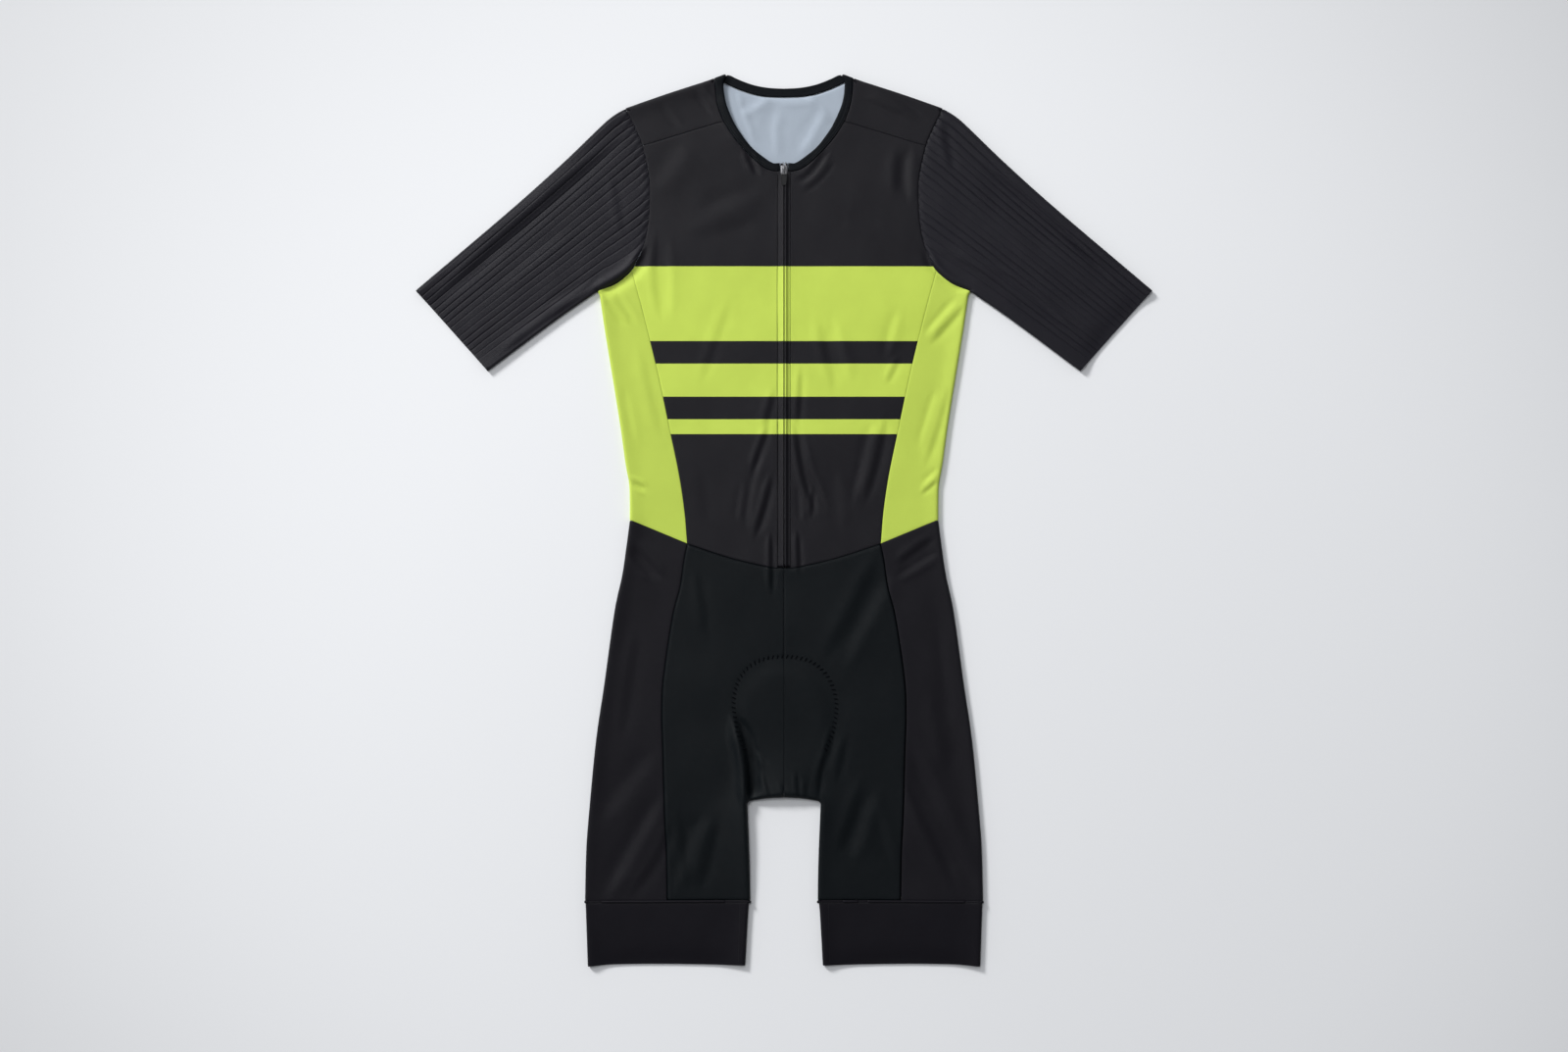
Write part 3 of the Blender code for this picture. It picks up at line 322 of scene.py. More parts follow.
# The groove along the seat pad's sewn outline
PAD_GROOVE = Crease(1.6, -0.15, [
    (-45.5, -263), (-54, -240), (-58, -208), (-50, -180), (-30, -162.5), (0, -157),
    (30, -162.5), (50, -180), (60, -208), (57, -240), (48, -264)])

# Places where the cloth's folded edge stands higher off the floor
Lift = namedtuple("Lift", "x y reach rise")
LIFTS = [Lift(0, -316, 30, 4), Lift(-44, -336, 26, 4.2), Lift(-42, -372, 28, 4),
         Lift(-41, -410, 24, 2), Lift(43, -338, 24, 1.2),
         Lift(-60, 482, 20, 2.6), Lift(-50, 446, 16, 1.4), Lift(61, 482, 18, 1)]

# Uneven swells that keep a wide panel from lying dead flat
Swell = namedtuple("Swell", "length direction phase height")
SWELLS = [
    Swell(143, 0.35, 0.4, 0.22), Swell(97, 1.30, 2.1, 0.16), Swell(71, 2.20, 4, 0.12),
    Swell(187, 2.75, 1.2, 0.22), Swell(59, 0.90, 5.2, 0.09), Swell(118, 1.85, 3.3, 0.14),
    Swell(46, 0.15, 0.9, 0.06), Swell(34, 2.85, 2.7, 0.04), Swell(39, 0.55, 1.9, 0.045),
]

# Faint wrinkles of the back where only the open neck is above it
NECK_WRINKLES = [
    Crease(6, 1.3, [(-52, 468), (-34, 478), (-14, 493)]),
    Crease(5, 1.1, [(-36, 436), (-50, 470), (-56, 494)]),
    Crease(6, 1.2, [(26, 492), (44, 478), (60, 460)]),
    Crease(8, 0.8, [(-10, 420), (-14, 450), (-6, 474)]),
    Crease(8, 0.9, [(16, 424), (30, 446), (44, 472)]),
    Crease(5, 0.8, [(-8, 483), (20, 484), (44, 490)]),
]
NECK_WRINKLE_START = 405.0
NECK_WRINKLE_FADE = 25.0

# Coil of the zip
TEETH = 372
TOOTH_PITCH = 1.2

# Stitches: place along the thread and share of its radius, for each ring of points
STITCH_FORM = ((-0.5, 0.35), (-0.36, 1.0), (0.36, 1.0), (0.5, 0.35))
STITCH_SIDES = 6

# The rolled seam between leg and band
SEAM_ROLL_DROP = 1.2        # how far below the seam its middle runs
SEAM_ROLL_HEIGHT = 0.9
SEAM_ROLL_PROUD = 0.45
SEAM_ROLL_WIDTH = 1.5
SEAM_ROLL_BELOW = 0.4       # its size on the floor against its size above

# The way the key light travels across the plan
LIGHT_RUN = (0.58, -0.81)

# Colours, linear
CHARCOAL = (0.0050, 0.0044, 0.0074)
RIBBED = (0.0086, 0.0080, 0.0128)
SHORTS = (0.0014, 0.0032, 0.0048)
LIME = (0.535, 0.68, 0.094)
BACK_INSIDE = (0.405, 0.462, 0.537)
BINDING = (0.0010, 0.0022, 0.0042)
THREAD = (0.010, 0.011, 0.012)
FLOOR = (0.834, 0.845, 0.867)

# Surroundings' light straight above and at the horizon
SKY_ABOVE = 0.10
SKY_BELOW = 0.80

# Printed hoops on the front: upper and lower edge
Hoop = namedtuple("Hoop", "top bottom")
HOOPS = [Hoop(292.0, 206.0), Hoop(180.0, 142.0), Hoop(116.0, 99.0)]


# Lines in the plan

def smooth(points, steps=24):
    """A fine Catmull-Rom curve through the given points."""
    p = np.array(points, float)
    if len(p) == 2:
        return p
    p = np.vstack([2 * p[0] - p[1], p, 2 * p[-1] - p[-2]])
    t = np.linspace(0, 1, steps, endpoint=False)[:, None]
    runs = [
        0.5 * (2 * b + (c - a) * t + (2 * a - 5 * b + 4 * c - d) * t**2 + (3 * b - a - 3 * c + d) * t**3)
        for a, b, c, d in zip(p, p[1:], p[2:], p[3:])
    ]
    return np.vstack(runs + [p[-2:-1]])


def run_of(line):
    """Length from a line's start to each of its points."""
    return np.concatenate([[0], np.cumsum(np.linalg.norm(np.diff(line, axis=0), axis=1))])


def along(line, shares):
    """Points of a line at the given shares of its length."""
    run = run_of(line)
    wanted = np.array(shares) * run[-1]
    return np.stack([np.interp(wanted, run, line[:, k]) for k in range(line.shape[1])], axis=1)


def at_shares(points, shares):
    return along(smooth(points), shares)


def evenly(points, count):
    return at_shares(points, np.linspace(0, 1, count + 1))


def chained(runs, counts):
    """Evenly spaced points along runs that follow each other."""
    parts = [evenly(run, count) for run, count in zip(runs, counts)]
    return np.vstack(parts[:1] + [part[1:] for part in parts[1:]])


def shares_of(line):
    run = run_of(line)
    return run / run[-1]


def unit(vector):
    return vector / np.linalg.norm(vector)


def unit_rows(vectors):
    return vectors / np.maximum(np.linalg.norm(vectors, axis=1), 1e-12)[:, None]


def normals_of(line):
    """Unit normals on the left of a line, each the mean of the two runs that meet there."""
    runs = unit_rows(np.diff(line, axis=0))
    left = np.stack([-runs[:, 1], runs[:, 0]], axis=1)
    return unit_rows(np.vstack([left[:1], left[:-1] + left[1:], left[-1:]]))


def fillet(before, corner, after, reach):
    """Points that round a corner between two straight runs."""
    corner = np.array(corner, float)
    start = corner + reach * unit(np.array(before) - corner)
    end = corner + reach * unit(np.array(after) - corner)
    t = np.linspace(0, 1, 2 * BEND_ROWS + 1)[:, None]
    return (1 - t)**2 * start + 2 * t * (1 - t) * corner + t**2 * end


def stretches(points, normal, marks, names, turned=()):
    """Named stretches of an outline between marks. Turned ones run the other way."""
    edges = {}
    for name, start, end in zip(names, marks, marks[1:]):
        way = -1 if name in turned else 1
        edges[name] = (points[start:end + 1][::way], normal[start:end + 1][::way])
    return edges


def outline():
    """The folded edges of the right half by name, each its points and outward normals."""
    neck = along(np.array(SHOULDER_LINE[:3]), np.linspace(0, 1, BINDING_ACROSS + 1))
    points = np.vstack([neck, evenly(SHOULDER_LINE[2:], SHOULDER_COLUMNS)[1:],
                        at_shares(SLEEVE_UPPER, sleeve_shares())[1:]])
    marks = [0, BINDING_ACROSS, BINDING_ACROSS + SHOULDER_COLUMNS, len(points) - 1]
    edges = stretches(points, normals_of(points), marks, ("neck fold", "shoulder", "sleeve upper"))

    bend = fillet(SLEEVE_LOWER[1], ARMPIT, SIDE_EDGE[1], ARMPIT_FILLET)
    lower = evenly([bend[0]] + SLEEVE_LOWER[1:], SLEEVE_ROWS)
    side = evenly([bend[-1]] + SIDE_EDGE[1:], SIDE_ROWS)
    leg = at_shares(LEG_OUTER_EDGE, leg_shares())
    points = np.vstack([lower[::-1], bend[1:-1], side, leg[1:], evenly(GRIPPER_OUTER, BAND_ROWS)[1:]])
    armpit = SLEEVE_ROWS + BEND_ROWS
    waist = armpit + BEND_ROWS + SIDE_ROWS
    marks = [0, armpit, waist, waist + len(leg) - 1, len(points) - 1]
    edges.update(stretches(points, normals_of(points), marks,
                           ("sleeve lower", "side", "leg outer", "gripper outer"), ("sleeve lower",)))

    bend = fillet(LEG_INNER_EDGE[-2], CROTCH_EDGE[0], CROTCH_EDGE[1], CROTCH_FILLET)
    inner = evenly(LEG_INNER_EDGE[:-1] + [bend[0]], LEG_LOWER_ROWS)
    crotch = evenly([bend[-1]] + CROTCH_EDGE[2:], CROTCH_ROWS)
    points = np.vstack([evenly(GRIPPER_INNER, BAND_ROWS), inner[1:], bend[1:-1], crotch])
    normal = normals_of(points)
    normal[-1] = (0.0, -1.0)
    names = ("gripper inner", "inner")
    edges.update(stretches(points, normal, [0, BAND_ROWS, len(points) - 1], names, names))
    return edges


def bent_shares(split, bend, counts):
    """Shares of a line's length for the rows up to a split, round the bend past it, and on to the end."""
    marks = (0, split, bend, 1)
    runs = [np.linspace(start, end, count + 1) for start, end, count in zip(marks, marks[1:], counts)]
    return np.concatenate([runs[0], runs[1][1:], runs[2][1:]])


def sleeve_shares():
    """Rows along the sleeve: beside the underarm seam, round the armpit's bend, and on to the cuff."""
    return bent_shares(UNDERARM_SHARE, UNDERARM_SHARE + BEND_SHARE, (UNDERARM_ROWS, BEND_ROWS, SLEEVE_ROWS))


def leg_shares():
    return bent_shares(LEG_SPLIT, LEG_SPLIT + (1 - LEG_SPLIT) * LEG_BEND_SHARE,
                       (LEG_UPPER_ROWS, BEND_ROWS, LEG_LOWER_ROWS))


# Heights of the front layer

def distance(xy, points):
    """Distance of each plan point to a line."""
    best = np.full(xy.shape[:-1], 1e9)
    for a, b in zip(points, points[1:]):
        run = b - a
        share = np.clip(((xy - a) @ run) / (run @ run), 0, 1)
        gap = np.linalg.norm(xy - (a + share[..., None] * run), axis=-1)
        best = np.minimum(best, gap)
    return best


def ease(value):
    value = np.clip(value, 0, 1)
    return value * value * (3 - 2 * value)


def pad_height(xy):
    """How far the seat pad lifts the front layer."""
    reach = np.where(xy[..., 1] > PAD_CENTRE_Y, PAD_UP, PAD_DOWN)
    rho = np.hypot(xy[..., 0] / PAD_HALF_WIDTH, (xy[..., 1] - PAD_CENTRE_Y) / reach)
    return PAD_RISE * ease((1 - rho) / PAD_SLOPE)


def swells(true):
    rise = np.zeros(true.shape[:-1])
    for swell in SWELLS:
        run = true[..., 0] * math.cos(swell.direction) + true[..., 1] * math.sin(swell.direction)
        rise += swell.height * np.sin(2 * math.pi * (run / swell.length) + swell.phase)
    return rise


def creased(true, creases, groove=False):
    """Height of soft creases at true plan points. A crease thins out towards both ends."""
    rise = np.zeros(true.shape[:-1])
    for crease in creases:
        line = smooth(crease.line, 6)
        low = line.min(axis=0) - 3 * crease.width
        high = line.max(axis=0) + 3 * crease.width
        near = ((true >= low) & (true <= high)).all(axis=-1)
        if not near.any():
            continue
        spot = true[near]
        share = shares_of(line)
        best = np.full(len(spot), 1e9)
        place = np.zeros(len(spot))
        beyond = np.zeros(len(spot))
        chord = line[-1] - line[0]
        turned = 1 if chord[1] * LIGHT_RUN[0] - chord[0] * LIGHT_RUN[1] > 0 else -1
        for a, b, s0, s1 in zip(line, line[1:], share, share[1:]):
            run = b - a
            across = unit(np.array([run[1], -run[0]])) * turned
            t = np.clip(((spot - a) @ run) / (run @ run), 0, 1)
            off = spot - (a + t[:, None] * run)
            gap = np.linalg.norm(off, axis=1)
            closer = gap < best
            best[closer] = gap[closer]
            beyond[closer] = (off @ across)[closer]
            place[closer] = (s0 + (s1 - s0) * t)[closer]
        taper = ease(np.minimum(place, 1 - place) / TAPER + TIP)
        width = crease.width * (0.6 + 0.4 * taper)
        form = 1.0 if groove else WALL_FORM * beyond / width
        rise[near] += STRENGTH * crease.rise * taper * form * np.exp(-(best / width)**2)
    return rise


def front_height(xy, side):
    """Middle of the front layer above the floor at a point of the right half's plan."""
    true = np.stack([side * xy[..., 0], xy[..., 1]], axis=-1)
    away = np.full(xy.shape[:-1], 1e9)
    for points in ROUGH_EDGES:
        away = np.minimum(away, distance(xy, points))
    roll = np.exp(-(away / ROLL)**2)
    rise = creased(true, CREASES) + creased(true, [PAD_GROOVE], groove=True)
    zip_zone = np.exp(-(xy[..., 0] / QUIET_AT_ZIP)**2) * (xy[..., 1] > WAIST_SEAM[0][1] - 1)
    rise = (rise * (1 - np.exp(-(away / QUIET_AT_EDGE)**2)) + swells(true) * (1 - roll)) * (1 - zip_zone)
    for end in OPEN_ENDS:
        near = np.exp(-(distance(xy, np.array(end)) / OPEN_REACH)**2)
        rise -= OPEN_DROP * near * (1 - np.exp(-(away / OPEN_CORNER)**2))
    for lift in LIFTS:
        gap = np.hypot(true[..., 0] - lift.x, true[..., 1] - lift.y)
        rise += lift.rise * np.exp(-(gap / lift.reach)**2)
    pad = pad_height(xy)
    lowest = LOWEST + LOWEST_ON_PAD * ease(pad / 0.4)
    over = BASE + (EDGE - BASE) * roll + rise + pad - lowest
    settled = SETTLE * np.exp(np.minimum(over, SETTLE) / SETTLE - 1)
    return lowest + np.where(over > SETTLE, over, settled)


def raised(xy, side):
    """Plan points lifted on to the front layer."""
    return np.concatenate([xy, front_height(xy, side)[..., None]], axis=-1)


def laid(xy, wall=WALL):
    """Plan points on the floor."""
    return np.concatenate([xy, np.full(xy.shape[:-1] + (1,), wall / 2)], axis=-1)


def turn_line(edge, side, wall=WALL):
    """Where the front layer starts to turn round a folded edge, and the radius of the turn."""
    points, normal = edge
    radius = np.full(len(points), (EDGE - wall / 2) / 2)
    for _ in range(4):
        line = points - normal * (radius + wall / 2)[:, None]
        radius = (front_height(line, side) - wall / 2) / 2
    return line, radius


def turn(edge, side, wall=WALL):
    """Rows of points that carry a folded edge from the front layer down to the back one."""
    line, radius = turn_line(edge, side, wall)
    angle = np.linspace(0, math.pi, ARC + 1)
    out = radius[:, None] * np.sin(angle)
    xy = line[:, None, :] + edge[1][:, None, :] * out[..., None]
    z = wall / 2 + radius[:, None] * (1 + np.cos(angle))
    return np.concatenate([xy, z[..., None]], axis=-1)


def inset(edge, width):
    return edge[0] - edge[1] * width


def patch(top, bottom, left, right, across=None, down=None):
    """Plan grid between four seams. Top and bottom run to the right, left and right run down."""
    if across is None:
        across = (shares_of(top) + shares_of(bottom)) / 2
    if down is None:
        down = (shares_of(left) + shares_of(right)) / 2
    u = across[None, :, None]
    v = down[:, None, None]
    flat = (1 - u) * (1 - v) * top[0] + u * (1 - v) * top[-1] + (1 - u) * v * bottom[0] + u * v * bottom[-1]
    return (1 - v) * top[None] + v * bottom[None] + (1 - u) * left[:, None] + u * right[:, None] - flat


def lipped(grid, edges, spacing=None):
    """The grid with extra rows or columns close beside the named edges: t, b, l, r."""
    for name in edges:
        turned = name in "lr"
        lines = grid.transpose(1, 0, 2) if turned else grid
        if name in "br":
            lines = lines[::-1]
        span = spacing or np.linalg.norm(lines[1, :, :2] - lines[0, :, :2], axis=1).mean()
        shares = [lip / span for lip in LIPS if lip < 0.8 * span]
        extra = np.stack([lines[0] + share * (lines[1] - lines[0]) for share in shares])
        lines = np.concatenate([lines[:1], extra, lines[1:]], axis=0)
        if name in "br":
            lines = lines[::-1]
        grid = lines.transpose(1, 0, 2) if turned else lines
    return grid


# Seams that two pieces share

def edge_point(name, place):
    """The first (0) or last (-1) point of a folded edge, with its normal."""
    return tuple(part[place:][:1] for part in EDGES[name])


def fold_end(name, side, place):
    """Where the front layer starts to turn at that point."""
    return turn_line(edge_point(name, place), side)[0][0]


def armhole_line(side):
    """The armhole seam as a fine line, and the rib mark of each of its points."""
    marks = [0.0] + [row.rib for row in ARMHOLE] + [ARMPIT_MARK]
    fine = smooth([fold_end("sleeve upper", side, 0)] + [(row.x, row.y) for row in ARMHOLE]
                  + [fold_end("sleeve lower", side, 0)])
    return fine, np.interp(np.linspace(0, len(marks) - 1, len(fine)), range(len(marks)), marks)


def armhole_at(side, marks):
    fine, fine_marks = armhole_line(side)
    return np.stack([np.interp(marks, fine_marks, fine[:, k]) for k in (0, 1)], axis=1)


def armhole_part(side, start, end, count):
    """Evenly spaced points of the armhole seam between two rib marks."""
    return along(armhole_at(side, np.linspace(start, end, 200)), np.linspace(0, 1, count + 1))


def princess():
    return at_shares(PRINCESS_SEAM, shares_of(EDGES["side"][0]))


def leg_seam():
    return at_shares(LEG_SEAM, leg_shares())


def waist_outer(side, count):
    return evenly([WAIST_JOINT, fold_end("side", side, -1)], count)


def binding_seam_upper(side, count):
    return evenly(BINDING_SEAM_UPPER + [fold_end("shoulder", side, 0)], count)


# Shells

def sewn(grids):
    """Points, relief (a grid's fourth value) and faces of some grids, welded where they touch."""
    points, faces, start = [], [], 0
    for grid in grids:
        rows, columns = grid.shape[:2]
        if grid.shape[2] == 3:
            grid = np.concatenate([grid, np.zeros((rows, columns, 1))], axis=2)
        index = start + np.arange(rows * columns).reshape(rows, columns)
        faces.append(np.stack([index[:-1, :-1], index[1:, :-1], index[1:, 1:], index[:-1, 1:]], axis=-1))
        points.append(grid.reshape(-1, 4))
        start += rows * columns
    points = np.concatenate(points)
    faces = np.concatenate([part.reshape(-1, 4) for part in faces])
    _, first, index = np.unique(np.round(points[:, :3] / 0.01), axis=0,
                                return_index=True, return_inverse=True)
    return points[first, :3], points[first, 3], index.reshape(-1)[faces]


def face_crosses(points, faces):
    """Normals of faces, each as long as twice its face's area."""
    a, b, c, d = (points[faces[:, k]] for k in range(4))
    return np.cross(c - a, d - b)


def point_normals(crosses, faces, count):
    total = np.zeros((count, 3))
    for k in range(4):
        np.add.at(total, faces[:, k], crosses)
    return unit_rows(total)


def border_of(faces, count):
    """Directed edges that only one face has, and the face of each."""
    start = faces.reshape(-1)
    end = np.roll(faces, -1, axis=1).reshape(-1)
    owner = np.repeat(np.arange(len(faces)), 4)
    keep = start != end
    start, end, owner = start[keep], end[keep], owner[keep]
    lone = ~np.isin(start * count + end, end * count + start)
    return start[lone], end[lone], owner[lone]


def away_from(points, start, end):
    """Distance of each point to the border."""
    dots = np.concatenate([points[start] + share * (points[end] - points[start])
                           for share in np.linspace(0, 1, 8, endpoint=False)])
    tree = KDTree(len(dots))
    for number, dot in enumerate(dots):
        tree.insert(dot, number)
    tree.balance()
    return np.array([tree.find(point)[2] for point in points])


def shell(name, grids, side, finishes, wall=WALL, lip=LIP, sink=SEAM_SINK, reach=SEAM_REACH, loose=None):
    """A closed cloth piece round a surface: rounded at its edges, and dipping to its seams."""
    points, relief, faces = sewn(grids)
    start, end, owner = border_of(faces, len(points))
    crosses = face_crosses(points, faces)
    normal = point_normals(crosses, faces, len(points))
    inward = unit_rows(np.cross(unit_rows(crosses)[owner], points[end] - points[start]))
    pull = np.zeros_like(points)
    np.add.at(pull, start, inward)
    np.add.at(pull, end, inward)
    size = np.linalg.norm(pull, axis=1)
    moved = size > 0.3
    points[moved] += pull[moved] / size[moved, None] * (SEAM_GAP / 2)
    away = away_from(points, start, end)
    depth = sink * np.exp(-(away / reach)**2)
    if loose is not None:
        depth *= 1 - loose(points)
    points = points - normal * depth[:, None]
    half = wall / 2 * np.sqrt(np.clip(1 - (1 - np.minimum(away / lip, 1))**2, 0, 1))
    rim = np.zeros(len(points), bool)
    rim[start] = True
    rim[end] = True
    half[rim] = 0.0
    lift = np.where(rim, 0.0, relief * np.clip(away / (2 * lip), 0, 1))
    lift = np.maximum(lift, -THINNEST * half)
    outer = points + normal * (half + lift)[:, None]
    inner_index = np.arange(len(points))
    inner_index[~rim] = len(points) + np.arange((~rim).sum())
    inner = (points - normal * half[:, None])[~rim]
    verts = np.concatenate([outer, inner])
    verts[:, 2] = np.maximum(verts[:, 2], 0.0)
    verts *= (side * MM, MM, MM)
    quads = np.concatenate([faces, inner_index[faces][:, ::-1]])[:, ::side]
    skin = np.repeat([0, len(finishes) - 1], len(faces))
    return mesh_piece(name, verts, quads.tolist(), finishes, skin)


def mesh_piece(name, verts, faces, finishes, skin=None):
    """Object from points in metres and faces. A face's repeated corners are dropped."""
    rows = [list(dict.fromkeys(face)) for face in faces]
    keep = [number for number, row in enumerate(rows) if len(row) > 2]
    mesh = bpy.data.meshes.new(name)
    mesh.from_pydata(verts.tolist(), [], [rows[number] for number in keep])
    for finish in finishes:
        mesh.materials.append(finish)
    if skin is not None:
        mesh.polygons.foreach_set("material_index", np.array(skin)[keep])
    mesh.shade_smooth()
    mesh.update()
    piece = bpy.data.objects.new(name, mesh)
    bpy.context.scene.collection.objects.link(piece)
    return piece


def dress(piece, node, body="garment"):
    """Puts a piece on its body, and in the place of a solid if it has one."""
    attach(piece, body)
    if node:
        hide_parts(node)


def cut_of(*grids):
    """Widest and longest run of grids that lie side by side, in metres."""
    width = sum(np.linalg.norm(np.diff(grid[..., :3], axis=1), axis=2).sum(axis=1).max() for grid in grids)
    length = max(np.linalg.norm(np.diff(grid[..., :3], axis=0), axis=2).sum(axis=0).max() for grid in grids)
    return width * MM, length * MM


def area_of(grids):
    points, _, faces = sewn(grids)
    return np.linalg.norm(face_crosses(points, faces), axis=1).sum() / 2 * MM * MM


def cloth(node, slot, grids, side, finishes, flat, under="floor", **form):
    """A cloth piece in the place of a solid. Its cut's width and length in metres, given as flat, are not
    used.
    """
    piece = shell(node + "_cloth", grids, side, finishes, **form)
    dress(piece, node)
    area_of(grids)


# Cloth pieces

def front_panel(side, hand, finishes):
    """Torso front between zip, neck binding, yoke seam, armhole, side panel and waist."""
    top = chained([[(ZIP_HALF, NECK_FOOT)] + BINDING_SEAM[1:], YOKE_SEAM], (NECK_COLUMNS, YOKE_COLUMNS))
    bottom = evenly([(ZIP_HALF, ZIP_FOOT)] + WAIST_SEAM[1:4], len(top) - 1)
    right = np.vstack([armhole_part(side, YOKE_RIB, UNDERARM_RIB, FRONT_ARMHOLE_ROWS), princess()[1:]])
    share = shares_of(right)
    left = np.stack([np.full(len(share), ZIP_HALF), NECK_FOOT + share * (ZIP_FOOT - NECK_FOOT)], axis=1)
    grid = raised(lipped(patch(top, bottom, left, right), "tblr"), side)
    cloth("front_" + hand, "charcoal_knit", [grid], side, finishes, cut_of(grid), "back_torso_cloth",
          loose=lambda points: points[:, 0] < ZIP_HALF + 1.5)


def side_panel(side, hand, finishes):
    """Side panel: front, round the fold, and on to the back."""
    edge = EDGES["side"]
    line = turn_line(edge, side)[0]
    top = armhole_part(side, UNDERARM_RIB, ARMPIT_MARK, SIDE_COLUMNS)
    front = raised(patch(top, waist_outer(side, SIDE_COLUMNS), princess(), line), side)
    back_top = top[::-2]
    foot = inset(edge_point("side", -1), SIDE_RETURN)[0]
    back_foot = evenly([line[-1], foot], len(back_top) - 1)
    back = laid(patch(back_top, back_foot, line, side_back_seam(side)))
    grid = lipped(np.concatenate([front[:, :-1], turn(edge, side), back[:, 1:]], axis=1), "tblr")
    cloth("side_" + hand, "lime_knit", [grid], side, finishes, cut_of(grid))


def side_back_seam(side):
    """The seam between the side panel and the back."""
    start = armhole_at(side, [UNDERARM_RIB])[0]
    foot = inset(edge_point("side", -1), SIDE_RETURN)[0]
    return at_shares([start, (163.0, 150.0), (152.0, 60.0), foot], shares_of(EDGES["side"][0]))


def leg_outer_panel(side, hand, finishes):
    """Outer leg panel: front, round the fold, and on to the back."""
    edge = EDGES["leg outer"]
    line = turn_line(edge, side)[0]
    bottom = evenly([(GRIPPER_JOINT_X, GRIPPER_Y), line[-1]], OUTER_COLUMNS)
    front = raised(patch(waist_outer(side, OUTER_COLUMNS), bottom, leg_seam(), line), side)
    far = inset(edge, SIDE_RETURN)
    ends = [evenly([line[row], far[row]], OUTER_BACK_COLUMNS) for row in (0, -1)]
    back = laid(patch(*ends, line, far))
    grid = lipped(np.concatenate([front[:, :-1], turn(edge, side), back[:, 1:]], axis=1), "tblr")
    cloth("leg_outer_" + hand, "charcoal_knit", [grid], side, finishes, cut_of(grid))


def leg_grids(top, inner, outer):
    """Plan grids of one half of the shorts: above the crotch, and the leg below it."""
    split = evenly([inner[CORNER], outer[LEG_UPPER_ROWS]], SPLIT_COLUMNS)
    centre = evenly([top[0], inner[0]], LEG_UPPER_ROWS)
    upper = patch(top, np.vstack([inner[:CORNER + 1], split[1:]]), centre, outer[:LEG_UPPER_ROWS + 1])
    bottom = evenly([inner[-1], outer[-1]], SPLIT_COLUMNS)
    return upper, patch(split, bottom, inner[CORNER:], outer[LEG_UPPER_ROWS:])


def inner_return():
    """How far the shorts' front reaches on to the back at the crotch and inner leg."""
    far = inset(EDGES["inner"], INNER_RETURN)
    far[0, 0] = 0.0
    return far


def leg_front_panel(side, hand, finishes):
    """Shorts front: the part above the crotch, the leg below it, and the fold on to the back."""
    edge = EDGES["inner"]
    line = turn_line(edge, side)[0]
    upper, lower = leg_grids(evenly(WAIST_SEAM[:4], CORNER + SPLIT_COLUMNS), line, leg_seam())
    reach = inner_return() - line
    steps = np.linspace(0, 1, INNER_BACK_COLUMNS + 1)
    back = laid(np.stack([line + reach * step for step in steps], axis=1))
    fold = np.concatenate([turn(edge, side), back[:, 1:]], axis=1)[:, ::-1]
    grids = [lipped(raised(upper, side), "l", CENTRE_SPACING), raised(lower, side),
             lipped(fold, "t", CENTRE_SPACING)]
    width = max(cut_of(grid)[0] for grid in grids[:2]) + cut_of(fold)[0]
    length = sum(cut_of(grid)[1] for grid in grids[:2])
    cloth("leg_front_" + hand, "shorts_knit", grids, side, finishes, (width, length), "seat_pad_cloth",
          loose=lambda points: 0.85 * (points[:, 0] < 3) * (points[:, 1] < PAD_OUTLINE[0].y))


def seat_panel(side, hand, finishes):
    """Seat: the back of the shorts between the returns of the front and the outer panel."""
    outer = inset(EDGES["leg outer"], SIDE_RETURN)
    top = evenly(BACK_WAIST[:-1] + [outer[0]], CORNER + SPLIT_COLUMNS)
    grids = [laid(grid)[::2, ::2][:, ::-1] for grid in leg_grids(top, inner_return(), outer)]
    width = max(cut_of(grid)[0] for grid in grids)
    length = sum(cut_of(grid)[1] for grid in grids)
    cloth("seat_" + hand, "charcoal_knit", grids, side, finishes, (width, length))


def gripper_band(side, hand, finishes):
    """Leg band: front, outer fold, back and inner fold, one closed ring a row."""
    outer, inner = EDGES["gripper outer"], EDGES["gripper inner"]
    outer_line = turn_line(outer, side)[0]
    inner_line = turn_line(inner, side)[0]
    hem = evenly([inner_line[-1]] + HEM[1:-1] + [outer_line[-1]], GRIPPER_COLUMNS)
    top = evenly([inner_line[0], outer_line[0]], GRIPPER_COLUMNS)
    plan = patch(top, hem, inner_line, outer_line)
    grid = np.concatenate([raised(plan, side)[:, :-1], turn(outer, side), laid(plan)[:, ::-2][:, 1:-1],
                           turn(inner, side)[:, ::-1]], axis=1)
    grid = lipped(grid, "tb")
    cloth("gripper_" + hand, "charcoal_knit", [grid], side, finishes, cut_of(grid),
          sink=0.9, reach=1.7, loose=lambda points: points[:, 1] < GRIPPER_Y - 30)


def back_height(true):
    """Middle of the back layer: flat, with faint wrinkles where only the open neck is above it."""
    rise = 1.3 * creased(true, NECK_WRINKLES) + 0.8 * (swells(true) + 0.4)
    within = ease((true[..., 1] - NECK_WRINKLE_START) / NECK_WRINKLE_FADE)
    return WALL / 2 + np.maximum(rise, 0) * within


